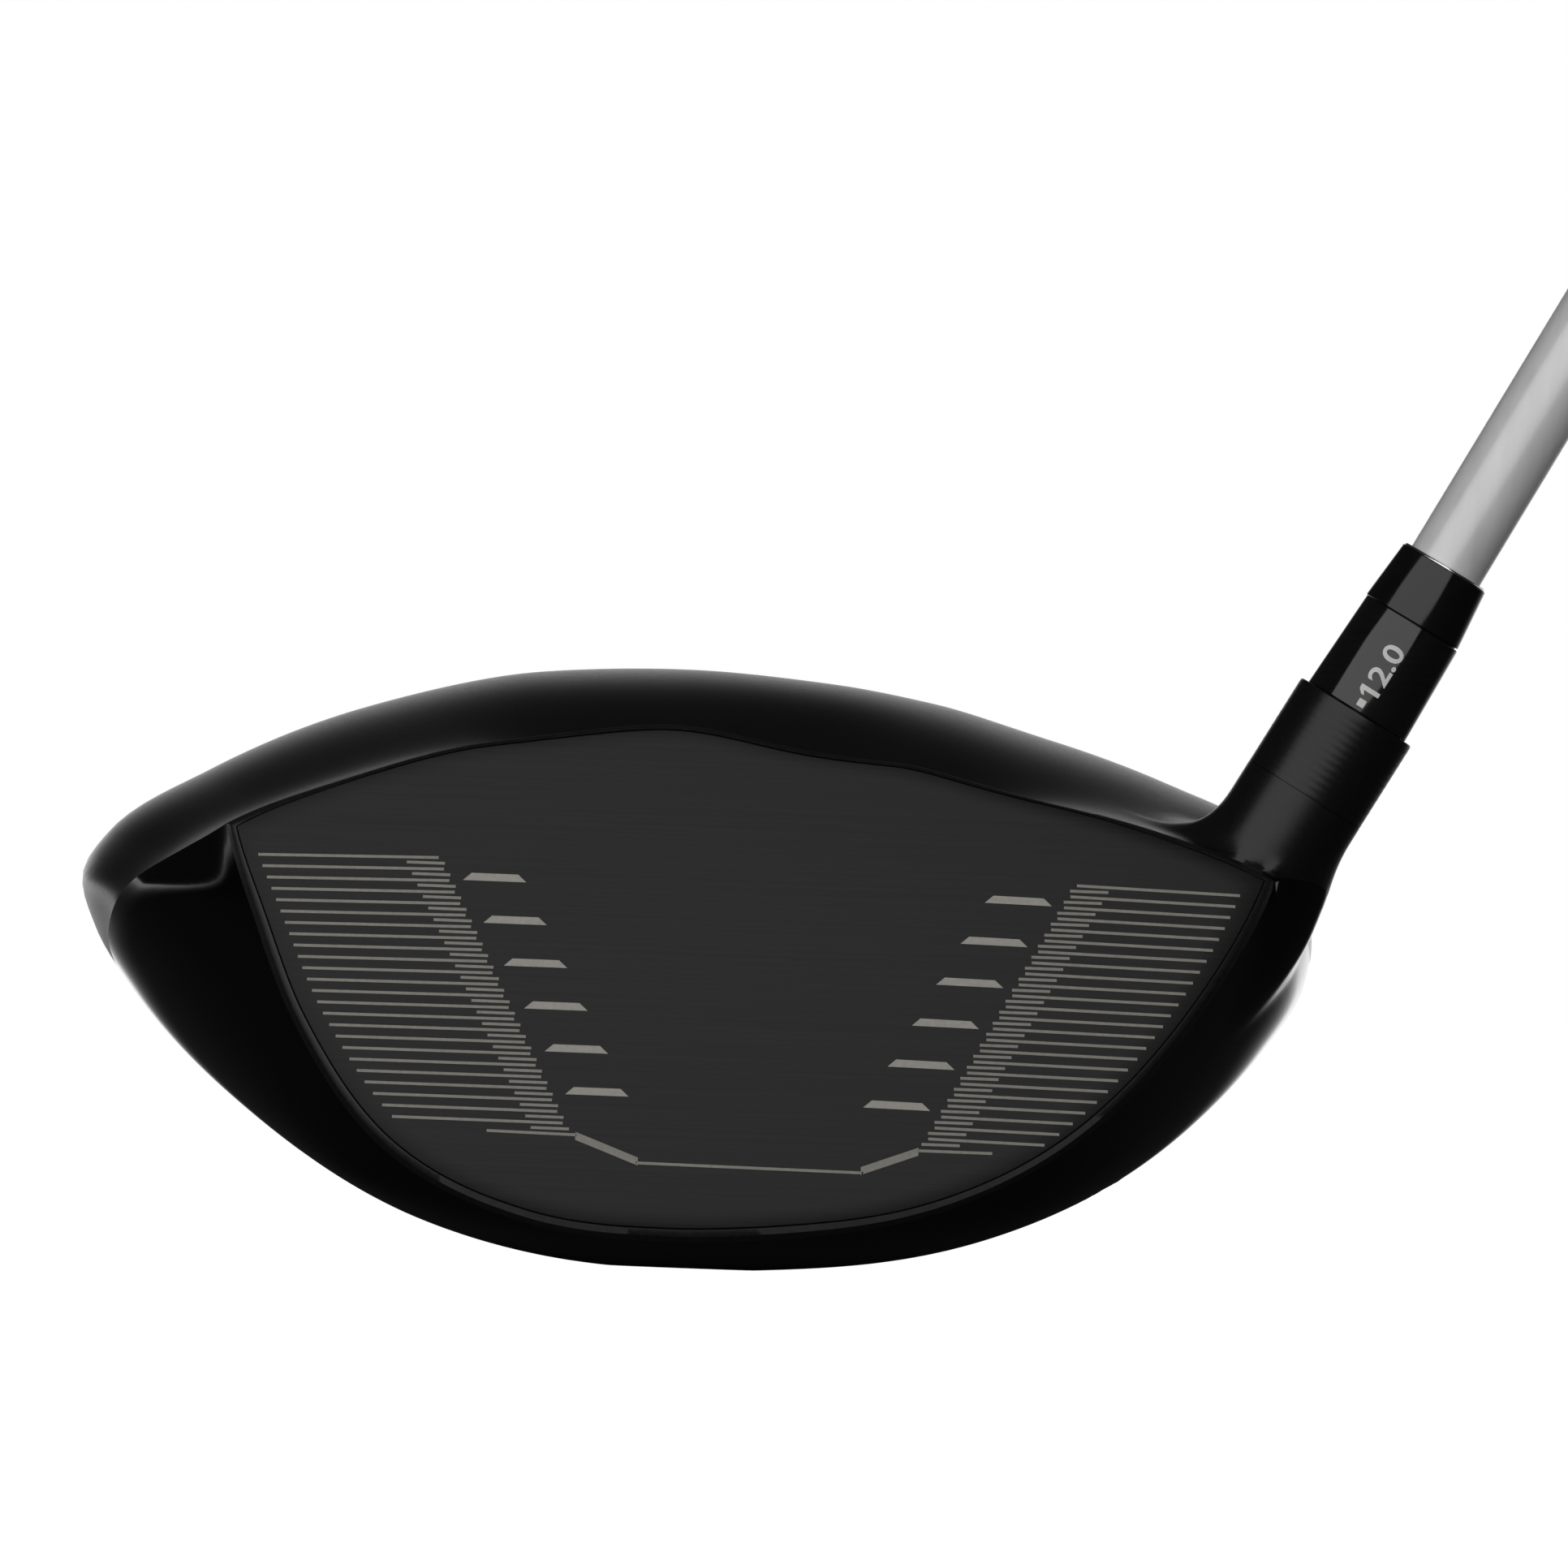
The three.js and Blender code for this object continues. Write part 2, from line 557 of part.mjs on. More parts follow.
add("cog_ring", cogRing(), 0x77797c, 0.4, 0.9);
add("hosel_sleeve", hoselSleeve(), 0x0b0b0c, 0.25, 0.6);
add("ferrule", onShaft(turned([
  [TIP_R + GAP, ferruleBottom], [SLEEVE_TOP_R, ferruleBottom], [FERRULE_TOP_R, ferruleTop - 0.4],
  [FERRULE_TOP_R - 0.4, ferruleTop], [TIP_R + GAP, ferruleTop], [TIP_R + GAP, ferruleBottom],
])), 0x0c0c0d, 0.2, 0);

// ---------------------------------------------------------------- shaft and grip

const SHAFT_STATIONS = [-TIP_DEPTH + CROSSING, TAPER_START, BUTT_S / 3, (2 * BUTT_S) / 3, BUTT_S];

function between(outer, inner, stations, sides = 24) {
  const up = stations.map((s) => [outer(s), s]);
  const down = stations.toReversed().map((s) => [inner(s), s]);
  return turned([[inner(stations[0]), stations[0]], ...up, ...down], sides);
}

const gripMouth = BUTT_S - GRIP_LENGTH;
const underGrip = (s) => shaftR(s) + GAP * 2 + TAPE_H;

function gripOutside(s) {
  const share = (s - gripMouth) / GRIP_LENGTH;
  return blend(GRIP_MOUTH_R, GRIP_BUTT_R, blend(share, share ** 6, BUTT_FLARE));
}

add("shaft", onShaft(between(shaftR, (s) => shaftR(s) - SHAFT_WALL, SHAFT_STATIONS)), 0xb9babb, 0.22, 0.9);
add("tip_weight", onShaft(rod(TIP_R - SHAFT_WALL - GAP,
  SHAFT_STATIONS[0] + 1, SHAFT_STATIONS[0] + PLUG_LENGTH, 16)), 0xb08d4a, 0.35, 0.9);
add("grip_tape", onShaft(between((s) => shaftR(s) + GAP + TAPE_H, (s) => shaftR(s) + GAP,
  [gripMouth + 4, (gripMouth + BUTT_S) / 2, BUTT_S - 2])), 0xe6e2d2, 0.8, 0);

function grip() {
  const stations = Array.from({ length: 7 }, (_, i) => gripMouth + (GRIP_LENGTH * i) / 6);
  return onShaft(between(gripOutside, underGrip, stations));
}

const capBottom = BUTT_S + GAP;
add("grip", grip(), 0x161617, 0.85, 0);
add("grip_cap", onShaft(turned([
  [VENT_R, capBottom], [GRIP_BUTT_R, capBottom], [GRIP_BUTT_R, capBottom + CAP_H * 0.5],
  [GRIP_BUTT_R - 1.6, capBottom + CAP_H], [VENT_R, capBottom + CAP_H], [VENT_R, capBottom],
], 24)), 0x1b1b1c, 0.8, 0);

export default parts;
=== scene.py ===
"""A golf driver: the looks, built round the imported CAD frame.

Lengths are in millimetres until a mesh is made, in the frame's own axes: +Z up, +X from toe to heel, the
face towards -Y, and the origin where the sole rests on the ground.
"""

import math

import bmesh
import bpy
import numpy as np
from mathutils import Matrix, Vector
from mathutils.bvhtree import BVHTree


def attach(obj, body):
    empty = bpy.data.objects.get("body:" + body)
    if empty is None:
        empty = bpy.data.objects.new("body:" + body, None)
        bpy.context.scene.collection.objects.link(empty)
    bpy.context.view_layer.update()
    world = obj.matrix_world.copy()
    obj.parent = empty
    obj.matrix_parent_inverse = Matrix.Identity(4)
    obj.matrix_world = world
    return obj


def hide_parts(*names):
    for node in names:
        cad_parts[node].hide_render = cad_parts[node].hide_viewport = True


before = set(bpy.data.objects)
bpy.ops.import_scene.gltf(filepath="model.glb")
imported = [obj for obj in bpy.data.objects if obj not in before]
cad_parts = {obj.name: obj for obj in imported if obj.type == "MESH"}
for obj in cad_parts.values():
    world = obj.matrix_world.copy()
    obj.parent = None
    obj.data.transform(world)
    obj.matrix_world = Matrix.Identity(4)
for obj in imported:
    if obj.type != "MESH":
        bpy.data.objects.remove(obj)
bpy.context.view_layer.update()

MM = 0.001
DEG = math.pi / 180
NEAR = 0.02  # points nearer than this to a surface or a cut are taken to lie on it

# ---------------------------------------------------------------- driving dimensions, as in the CAD

AXIS_Z = 32  # height of the front-to-back line that the head is drawn around
TAIL_Y = 96
TAIL_DROP = 2
DROP_START_Y = 20
SKIN_TOP_Y, SKIN_LOW_Y, SKIN_SIDE_Y = 18, -10, 33
RIDGE_HEEL, RIDGE_TOE = -9 * DEG, 17 * DEG
REACH_HEEL, REACH_TOE = 35 * DEG, 60 * DEG
RIDGE_POWER = 1.7
LOW_SIDE = 0.6  # sine of the angle below the axis from which the head's side counts as its low side
# How round the skin is in front of its widest place and behind it, at the top, the low side and the sides.
FRONT_ROUNDING, BACK_ROUNDING, TAIL_ROUNDING = (2, 3, 2.3), (2, 2.6, 2), (1.25, 2, 1.8)
LOFT = 12 * DEG
BULGE_RADIUS = 305
FACE_X, FACE_Y, FACE_Z = 5, -19, 31
BAND_DEPTH, BAND_LOW, BAND_TOP = 1.0, 1.5, 0.6
BAND_TURN, BAND_TURN_RANGE = 0.1, 0.4  # sines of the angles over which the band narrows
PLATE_RIM = 2.2
SEAM_Y, SEAM_SIDE_Y = 30, 38
SHELL = 1.2  # thickness of the head's skins

HOSEL_TOP = np.array([69.65, -3, 62.4])
HOSEL_LIE = 60 * DEG
HOSEL_R = 6.97
HOSEL_STRAIGHT = 10.5
BORE_R, TUBE_R = 5.4, 6.6
COLLAR_R, COLLAR_DEPTH = 6.2, 6
SEAT_TOP, SEAT_THICK, SEAT_HOLE_R = -44, 3, 2.9
PORT_R = 5.2
SCREW_R = 2.4
SLEEVE_BOTTOM, SLEEVE_R = -30, 5.0
SLEEVE_FLANGE_R, SLEEVE_TOP_R, SLEEVE_TOP = 6.12, 5.75, 11.3
TEETH, TOOTH_FOOT_R, TOOTH_TIP_R = 12, 4.65, 5.35
TOOTH_HALF, TOOTH_FLANK = 0.32, 0.14  # of the step from tooth to tooth
FERRULE_TOP, FERRULE_TOP_R = 18.4, 5.13
GAP = 0.3

SHAFT_LIE = 61 * DEG
CROSSING = 5
CLUB_LENGTH = 1156
TIP_DEPTH = 30
TIP_R, BUTT_R, SHAFT_WALL, TAPER_START = 4.25, 7.6, 1.0, 60
GRIP_LENGTH, GRIP_MOUTH_R, GRIP_BUTT_R = 265, 9.9, 13.2
TAPE_H, CAP_H, VENT_R = 0.3, 4, 1.5

WEIGHT_Y, WEIGHT_R, WEIGHT_H, WEIGHT_SINK = 60, 9, 5, 0.4
INSERT_R, INSERT_H, BOSS_WALL = 4.2, 6, 1.8

# Outlines seen from the front, as [x, z], counterclockwise from the heel.
SILHOUETTE = [
    [65.2, 32], [65.6, 41.2], [60.0, 49.4], [50.6, 53.7], [37.3, 58.1], [24.7, 61.5], [13.9, 63.2],
    [0, 64.2], [-18.2, 63.4], [-37.0, 58.9], [-53.7, 51.5], [-64.2, 44.5], [-66.8, 40.2], [-65.3, 34.3],
    [-61.0, 27.7], [-47.4, 14.8], [-28.8, 4.2], [-12.8, 0.4], [0, -0.25], [12.8, 0.4], [32.8, 4.5],
    [53.3, 16.7], [61.3, 25.6],
]
INSERT = [
    [60.4, 43.9], [50.8, 47.5], [37.6, 50.9], [20.1, 54.6], [-3.5, 57.6], [-23.4, 55.1], [-40.6, 49.8],
    [-50.0, 45.5], [-47.0, 37.5], [-41.9, 25.6], [-32.3, 12.9], [-17.2, 5.7], [-2.3, 4.3], [13.3, 5.4],
    [26.2, 8.2], [39.0, 14.8], [54.0, 31.5],
]
HEEL_CORNER, TOE_CORNER = 0, 7

# ---------------------------------------------------------------- camera, floor and light

scene = bpy.context.scene
scene.view_settings.view_transform = "Standard"

VIEW_CENTRE = (8.5, FACE_Y, 52.3)
VIEW_WIDTH = 168
VIEW_DISTANCE = 6000
ROLL = 2.2 * DEG
SENSOR = 36

camera = bpy.data.objects.new("camera", bpy.data.cameras.new("camera"))
camera.data.sensor_width = SENSOR
camera.data.lens = SENSOR * VIEW_DISTANCE / VIEW_WIDTH
camera.data.clip_start, camera.data.clip_end = 0.05, 50
looking = Matrix.Rotation(math.pi / 2, 4, "X") @ Matrix.Rotation(ROLL, 4, "Z")
place = Vector(VIEW_CENTRE) - Vector((0, VIEW_DISTANCE, 0))
camera.matrix_world = Matrix.Translation(place * MM) @ looking
scene.collection.objects.link(camera)
scene.camera = camera


def shade_of(name):
    """A new material, its nodes, its links and its surface shader."""
    material = bpy.data.materials.new(name)
    material.use_nodes = True
    nodes, links = material.node_tree.nodes, material.node_tree.links
    return material, nodes, links, nodes["Principled BSDF"]


def set_inputs(node, values):
    for name, value in values.items():
        node.inputs[name].default_value = value


def floor():
    """A floor that is white to the eye; as light, it is bright only far behind the object."""
    reach = 8.0
    mesh = bpy.data.meshes.new("floor")
    low = -0.00005
    mesh.from_pydata([(-reach, -reach, low), (reach, -reach, low), (reach, reach, low), (-reach, reach, low)],
                     [], [(0, 1, 2, 3)])
    material, nodes, links, shader = shade_of("floor")
    set_inputs(shader, {"Base Color": (0.1, 0.1, 0.1, 1), "Roughness": 0.9, "Specular IOR Level": 0.1,
                        "Emission Color": (1, 1, 1, 1)})
    where, axes = nodes.new("ShaderNodeTexCoord"), nodes.new("ShaderNodeSeparateXYZ")
    links.new(where.outputs["Object"], axes.inputs[0])
    behind = nodes.new("ShaderNodeMapRange")
    behind.interpolation_type = "SMOOTHSTEP"
    set_inputs(behind, {"From Min": 0.1, "From Max": 0.6})
    links.new(axes.outputs["Y"], behind.inputs["Value"])
    ray, choice = nodes.new("ShaderNodeLightPath"), nodes.new("ShaderNodeMix")
    choice.inputs["B"].default_value = 1.0
    links.new(ray.outputs["Is Camera Ray"], choice.inputs["Factor"])
    links.new(behind.outputs["Result"], choice.inputs["A"])
    links.new(choice.outputs["Result"], shader.inputs["Emission Strength"])
    mesh.materials.append(material)
    obj = bpy.data.objects.new("floor", mesh)
    scene.collection.objects.link(obj)


def surroundings():
    """White to the eye; as light, bright behind the object and dim in front of it."""
    world = bpy.data.worlds.new("studio")
    scene.world = world
    world.use_nodes = True
    nodes, links = world.node_tree.nodes, world.node_tree.links
    nodes.clear()
    output = nodes.new("ShaderNodeOutputWorld")
    shown, lit = nodes.new("ShaderNodeBackground"), nodes.new("ShaderNodeBackground")
    set_inputs(shown, {"Color": (1, 1, 1, 1), "Strength": 1.0})
    coordinates, axes = nodes.new("ShaderNodeTexCoord"), nodes.new("ShaderNodeSeparateXYZ")
    ramp, half = nodes.new("ShaderNodeValToRGB"), nodes.new("ShaderNodeMapRange")
    half.inputs["From Min"].default_value = -1
    links.new(coordinates.outputs["Generated"], axes.inputs[0])
    links.new(axes.outputs["Y"], half.inputs["Value"])
    links.new(half.outputs["Result"], ramp.inputs["Fac"])
    for element, at, level in zip(ramp.color_ramp.elements, (0.955, 0.998), (0.02, 1)):
        element.position, element.color = at, (level, level, level, 1)
    links.new(ramp.outputs["Color"], lit.inputs["Color"])
    ray = nodes.new("ShaderNodeLightPath")
    choice = nodes.new("ShaderNodeMixShader")
    links.new(ray.outputs["Is Camera Ray"], choice.inputs["Fac"])
    links.new(lit.outputs[0], choice.inputs[1])
    links.new(shown.outputs[0], choice.inputs[2])
    links.new(choice.outputs[0], output.inputs["Surface"])


def softbox(name, at, towards, width, height, radiance):
    """A rectangular light of a given brightness, seen only in what it lights."""
    light = bpy.data.lights.new(name, "AREA")
    light.shape = "RECTANGLE"
    light.size, light.size_y = width, height
    light.energy = radiance * width * height * math.pi
    obj = bpy.data.objects.new(name, light)
    obj.location = at
    obj.rotation_euler = (Vector(towards) - Vector(at)).to_track_quat("-Z", "Y").to_euler()
    obj.visible_camera = False
    scene.collection.objects.link(obj)


floor()
surroundings()
softbox("front", (-0.1, -0.5, 0.2), (0.0, 0, 0.05), 1.0, 0.7, 1.35)
softbox("rim", (0.0, 1.6, 0.12), (0, 0, 0.05), 1.0, 0.2, 1.0)

# ---------------------------------------------------------------- materials


def finish(name, colour, metallic, roughness, *, grain=900, detail=3.0, vary=0.25, bump=0.0,
           spread=0.06, coat=0.0, coat_roughness=0.05, specular=0.5):
    """A surface whose colour, gloss and height follow one grain; grains per metre, for all axes or each."""
    material, nodes, links, shader = shade_of(name)
    set_inputs(shader, {"Metallic": metallic, "Coat Weight": coat, "Coat Roughness": coat_roughness,
                        "Specular IOR Level": specular})
    coordinates = nodes.new("ShaderNodeTexCoord")
    scaled = nodes.new("ShaderNodeMapping")
    scaled.inputs["Scale"].default_value = grain if isinstance(grain, tuple) else (grain,) * 3
    noise = nodes.new("ShaderNodeTexNoise")
    set_inputs(noise, {"Scale": 1.0, "Detail": detail})
    links.new(coordinates.outputs["Object"], scaled.inputs["Vector"])
    links.new(scaled.outputs["Vector"], noise.inputs["Vector"])
    tint = nodes.new("ShaderNodeValToRGB")
    for element, share in zip(tint.color_ramp.elements, (1 - vary, 1 + vary)):
        element.color = (*(min(1.0, channel * share) for channel in colour), 1)
    tint.color_ramp.elements[0].position, tint.color_ramp.elements[1].position = 0.25, 0.75
    links.new(noise.outputs["Fac"], tint.inputs["Fac"])
    links.new(tint.outputs["Color"], shader.inputs["Base Color"])
    gloss = nodes.new("ShaderNodeMapRange")
    set_inputs(gloss, {"To Min": max(0.02, roughness - spread), "To Max": roughness + spread})
    links.new(noise.outputs["Fac"], gloss.inputs["Value"])
    links.new(gloss.outputs["Result"], shader.inputs["Roughness"])
    if bump:
        height = nodes.new("ShaderNodeBump")
        set_inputs(height, {"Distance": bump * MM, "Strength": 1.0})
        links.new(noise.outputs["Fac"], height.inputs["Height"])
        links.new(height.outputs["Normal"], shader.inputs["Normal"])
    return material


SATIN = finish("satin_black", (0.006, 0.006, 0.0065), 0.0, 0.3, grain=2500, bump=0.004, vary=0.2,
               specular=0.4)
GLOSS = finish("gloss_black", (0.001, 0.001, 0.0011), 0.0, 0.09, grain=60, spread=0.015, coat=0.3,
               specular=0.4)
BRUSHED = finish("brushed_face", (0.0125, 0.0125, 0.0125), 0.3, 0.42, grain=(18, 60, 2600), detail=5,
                 vary=0.3, bump=0.003, spread=0.05, specular=0.3)
BAND = finish("band_black", (0.012, 0.012, 0.012), 0.2, 0.34, grain=1500, bump=0.002)
PAINT = finish("score_paint", (0.30, 0.285, 0.25), 0.0, 0.6, grain=1800, vary=0.12, bump=0.01)
DASH_PAINT = finish("dash_paint", (0.42, 0.40, 0.36), 0.0, 0.55, grain=1800, vary=0.1, bump=0.01)
SLEEVE = finish("sleeve_black", (0.006, 0.006, 0.0065), 0.0, 0.10, grain=(120, 120, 2200), spread=0.03,
                coat=0.3)
FERRULE = finish("ferrule_black", (0.005, 0.005, 0.005), 0.0, 0.12, grain=300, spread=0.02)
# Bright chrome for the ferrule's top chamfer: a painted highlight where that edge catches the light.
EDGE_HIGHLIGHT = finish("painted_edge_highlight", (0.75, 0.75, 0.76), 1.0, 0.18, grain=(300, 300, 3000), vary=0.05, spread=0.03)
WHITE = finish("dial_white", (0.85, 0.85, 0.84), 0.0, 0.5, grain=2500, vary=0.03, bump=0.004)
SHAFT = finish("shaft_silver", (0.88, 0.88, 0.885), 0.1, 0.3, grain=(900, 900, 40), vary=0.05, spread=0.04,
               coat=0.4, coat_roughness=0.08)
MACHINED = finish("machined_steel", (0.42, 0.42, 0.43), 1.0, 0.3, grain=(400, 400, 3500), vary=0.12,
                  bump=0.004)
DARK_STEEL = finish("dark_steel", (0.06, 0.06, 0.063), 1.0, 0.32, grain=2200, vary=0.2, bump=0.003)
WEIGHT_STEEL = finish("weight_steel", (0.20, 0.20, 0.21), 1.0, 0.28, grain=(3000, 60, 3000), vary=0.12,
                      bump=0.003)
ALUMINIUM = finish("cog_aluminium", (0.5, 0.5, 0.52), 1.0, 0.36, grain=2200, vary=0.1, bump=0.004)
BRASS = finish("plug_brass", (0.55, 0.38, 0.14), 1.0, 0.32, grain=1200, vary=0.15, bump=0.004)
NYLON = finish("nylon", (0.62, 0.6, 0.55), 0.0, 0.45, grain=900, vary=0.06, bump=0.01)
GLUE = finish("glue", (0.55, 0.47, 0.26), 0.0, 0.4, grain=250, vary=0.15, bump=0.2)
TAPE = finish("tape", (0.66, 0.62, 0.5), 0.0, 0.75, grain=(4000, 4000, 500), vary=0.1, bump=0.02)
RUBBER = finish("grip_rubber", (0.012, 0.012, 0.0125), 0.0, 0.72, grain=1500, vary=0.35, bump=0.03)

# ---------------------------------------------------------------- mesh tools

SIDES = 96
SHARP = 32 * DEG
EASE_STEPS = 3


def blend(start, end, share):
    return start + (end - start) * share


def smooth(share):
    return share * share * (3 - 2 * share)


def piece(name, points, faces, material, body, slot, nodes):
    """A shown piece, from its points in millimetres, that stands for some CAD nodes. The slot argument is not
    used.
    """
    mesh = bpy.data.meshes.new(name)
    mesh.from_pydata((np.asarray(points) * MM).tolist(), [], [list(map(int, face)) for face in faces])
    mesh.shade_smooth()
    mesh.set_sharp_from_angle(angle=SHARP)
    mesh.materials.append(material)
    obj = bpy.data.objects.new(name, mesh)
    scene.collection.objects.link(obj)
    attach(obj, body)
    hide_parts(*nodes)
    return obj


def ring_faces(rows, columns, closed=False):
    """Quads between rows of points that each go once round."""
    faces = []
    for row in range(rows if closed else rows - 1):
        low, high = row * columns, (row + 1) % rows * columns
        for i in range(columns):
            j = (i + 1) % columns
            faces.append((low + i, low + j, high + j, high + i))
    return faces


def joined(*solids):
    """Several (points, faces) as one."""
    points, faces = [], []
    for some_points, some_faces in solids:
        start = len(points)
        points.extend(map(list, some_points))
        faces.extend([start + i for i in face] for face in some_faces)
    return np.array(points), faces


def eased(outline, size):
    """The outline with each of its corners rounded off, those on the axis apart."""
    outline = [np.array(point, float) for point in outline]
    on_axis = outline[0][0] == 0
    result = []
    for i, corner in enumerate(outline):
        before, after = outline[i - 1], outline[(i + 1) % len(outline)]
        if corner[0] == 0 or (on_axis and i in (0, len(outline) - 1)):
            result.append(corner)
            continue
        start, end = before - corner, after - corner
        lengths = np.linalg.norm(start), np.linalg.norm(end)
        cut = min(size, 0.4 * lengths[0], 0.4 * lengths[1])
        start, end = corner + start / lengths[0] * cut, corner + end / lengths[1] * cut
        for share in np.linspace(0, 1, EASE_STEPS + 1):
            result.append(blend(blend(start, corner, share), blend(corner, end, share), share))
    return result


def turned(outline, sides=SIDES, radius_at=None):
    """A body turned about Z from its [radius, z] outline, listed upwards on its outer side. It closes on
    itself, or on the axis if it starts and ends there. radius_at(radii, z, angles) may reshape it."""
    angles = np.arange(sides) * 2 * math.pi / sides
    rows = np.array([point for point in outline if point[0] > 0])
    radii, z = np.repeat(rows[:, :1], sides, 1), np.repeat(rows[:, 1:], sides, 1)
    if radius_at:
        radii = radius_at(radii, z, angles[None, :])
    points = np.stack([radii * np.cos(angles), radii * np.sin(angles), z], -1).reshape(-1, 3).tolist()
    on_axis = outline[0][0] == 0
    faces = ring_faces(len(rows), sides, closed=not on_axis)
    if on_axis:
        bottom, top = len(points), len(points) + 1
        points += [[0, 0, outline[0][1]], [0, 0, outline[-1][1]]]
        last = (len(rows) - 1) * sides
        for i in range(sides):
            j = (i + 1) % sides
            faces += [(bottom, j, i), (top, last + i, last + j)]
    return np.array(points), faces


def leaning(lie):
    """The turn that takes +Z to a direction in the XZ plane rising at the angle lie."""
    return np.array(Matrix.Rotation(math.pi / 2 - lie, 3, "Y"))


HOSEL_TURN = leaning(HOSEL_LIE)
SHAFT_TURN = leaning(SHAFT_LIE)
SHAFT_ORIGIN = HOSEL_TOP + CROSSING * HOSEL_TURN[:, 2]


def on_hosel(solid):
    points, faces = solid
    return points @ HOSEL_TURN.T + HOSEL_TOP, faces


def on_shaft(solid):
    points, faces = solid
    return points @ SHAFT_TURN.T + SHAFT_ORIGIN, faces


# ---------------------------------------------------------------- head surface


def polar(outline, corners=()):
    """The radius round the head's line, as a smooth function of the angle, through an outline's points.
    The slope breaks at the corners."""
    x, z = np.array(outline, float).T
    count = len(x)
    angles, radii = np.unwrap(np.arctan2(z - AXIS_Z, x)), np.hypot(x, z - AXIS_Z)
    angles, radii = np.append(angles, angles[0] + 2 * math.pi), np.append(radii, radii[0])
    chord = np.diff(radii) / np.diff(angles)
    before = np.roll(chord, 1)
    width = np.diff(angles)
    width_before = np.roll(width, 1)
    middle = (chord * width_before + before * width) / (width + width_before)
    corner = np.isin(np.arange(count), corners)
    leaving, reaching = np.where(corner, chord, middle), np.where(corner, before, middle)

    def radius(angle):
        angle = angles[0] + np.mod(angle - angles[0], 2 * math.pi)
        i = np.clip(np.searchsorted(angles, angle, side="right") - 1, 0, count - 1)
        span = angles[i + 1] - angles[i]
        t = (angle - angles[i]) / span
        bend = leaving[i] * (1 - t) - reaching[(i + 1) % count] * t
        return blend(radii[i], radii[i + 1], smooth(t)) + span * t * (1 - t) * bend

    return radius


widest = polar(SILHOUETTE)
insert = polar(INSERT, [HEEL_CORNER, TOE_CORNER])


def angle_of(point):
    return math.atan2(point[1] - AXIS_Z, point[0])


HEEL_ANGLE, TOE_ANGLE = angle_of(INSERT[HEEL_CORNER]), angle_of(INSERT[TOE_CORNER])


def face_y(x, z):
    across, up = x - FACE_X, z - FACE_Z
    return FACE_Y + up * math.tan(LOFT) + (across**2 + up**2) / (2 * BULGE_RADIUS)


def on_face(angle, radius, behind):
    x, z = radius * np.cos(angle), AXIS_Z + radius * np.sin(angle)
    return np.stack([x, face_y(x, z) + behind, z], -1)


def mix(angle, top, low, side):
    """A value that varies round the head from its top, through its sides, to its low side."""
    up = np.sin(angle)
    return np.where(up > 0, blend(side, top, up**2), blend(side, low, smooth(np.clip(-up / LOW_SIDE, 0, 1))))


def ridge(angle, corner, turn, reach):
    off = np.arctan2(np.sin(angle - corner), np.cos(angle - corner)) / reach
    return np.where(np.abs(off) < 1, turn * (1 - off**2) ** 2, 0)


def turned_by(angle, run):
    share = 1 - (1 - np.clip(run, 0, 1)) ** RIDGE_POWER
    ridges = ridge(angle, HEEL_ANGLE, RIDGE_HEEL, REACH_HEEL) + ridge(angle, TOE_ANGLE, RIDGE_TOE, REACH_TOE)
    return share * ridges


def band_width(angle):
    return blend(BAND_LOW, BAND_TOP, smooth(np.clip((np.sin(angle) - BAND_TURN) / BAND_TURN_RANGE, 0, 1)))


def line_drop(y):
    return TAIL_DROP * smooth(np.clip((y - DROP_START_Y) / (TAIL_Y - DROP_START_Y), 0, 1))


def skin(start, run):
    """Points of the head's skin: run goes from 0 at the edge of the face through 1 where the head is widest
    to 2 at the tail. Below 0 it carries on in front of the face."""
    start, run = np.broadcast_arrays(np.asarray(start, float), np.asarray(run, float))
    edge_r = insert(start) + band_width(start)
    edge_y = on_face(start, edge_r, BAND_DEPTH)[..., 1]
    angle = start + turned_by(start, run)
    wide_r = widest(angle)
    wide_y = mix(angle, SKIN_TOP_Y, SKIN_LOW_Y, SKIN_SIDE_Y)
    ahead = np.minimum(run, 1)
    back = np.sin(np.clip(run - 1, 0, 1) * math.pi / 2)
    y = np.where(run <= 1, blend(edge_y, wide_y, ahead), blend(wide_y, TAIL_Y, back))
    radius = np.where(
        run <= 1,
        blend(edge_r, wide_r, 1 - (1 - ahead) ** mix(angle, *FRONT_ROUNDING)),
        wide_r * (1 - back ** mix(angle, *BACK_ROUNDING)) ** (1 / mix(angle, *TAIL_ROUNDING)),
    )
    return np.stack([radius * np.cos(angle), y, AXIS_Z + radius * np.sin(angle) - line_drop(y)], -1)


FRONT_RUN, LAST_RUN = -0.2, 1.98
ANGLES = np.concatenate([
    np.linspace(HEEL_ANGLE, TOE_ANGLE, 150, endpoint=False),
    np.linspace(TOE_ANGLE, HEEL_ANGLE + 2 * math.pi, 170, endpoint=False),
])
RUNS = np.concatenate([
    np.linspace(FRONT_RUN, 0, 6, endpoint=False), np.linspace(0, 1, 48, endpoint=False),
    np.linspace(1, LAST_RUN, 54),
])


def closed_head():
    """The head's skin as a closed body, carried on a little in front of the face."""
    points = skin(ANGLES[None, :], RUNS[:, None]).reshape(-1, 3)
    faces = [face[::-1] for face in ring_faces(len(RUNS), len(ANGLES))]
    count, last = len(ANGLES), (len(RUNS) - 1) * len(ANGLES)
    front, tail = len(points), len(points) + 1
    points = np.vstack([points, points[:count].mean(0), [0, TAIL_Y, AXIS_Z - TAIL_DROP]])
    for i in range(count):
        j = (i + 1) % count
        faces += [(front, i, j), (tail, last + j, last + i)]
    return points, faces


# ---------------------------------------------------------------- blending the neck into the head

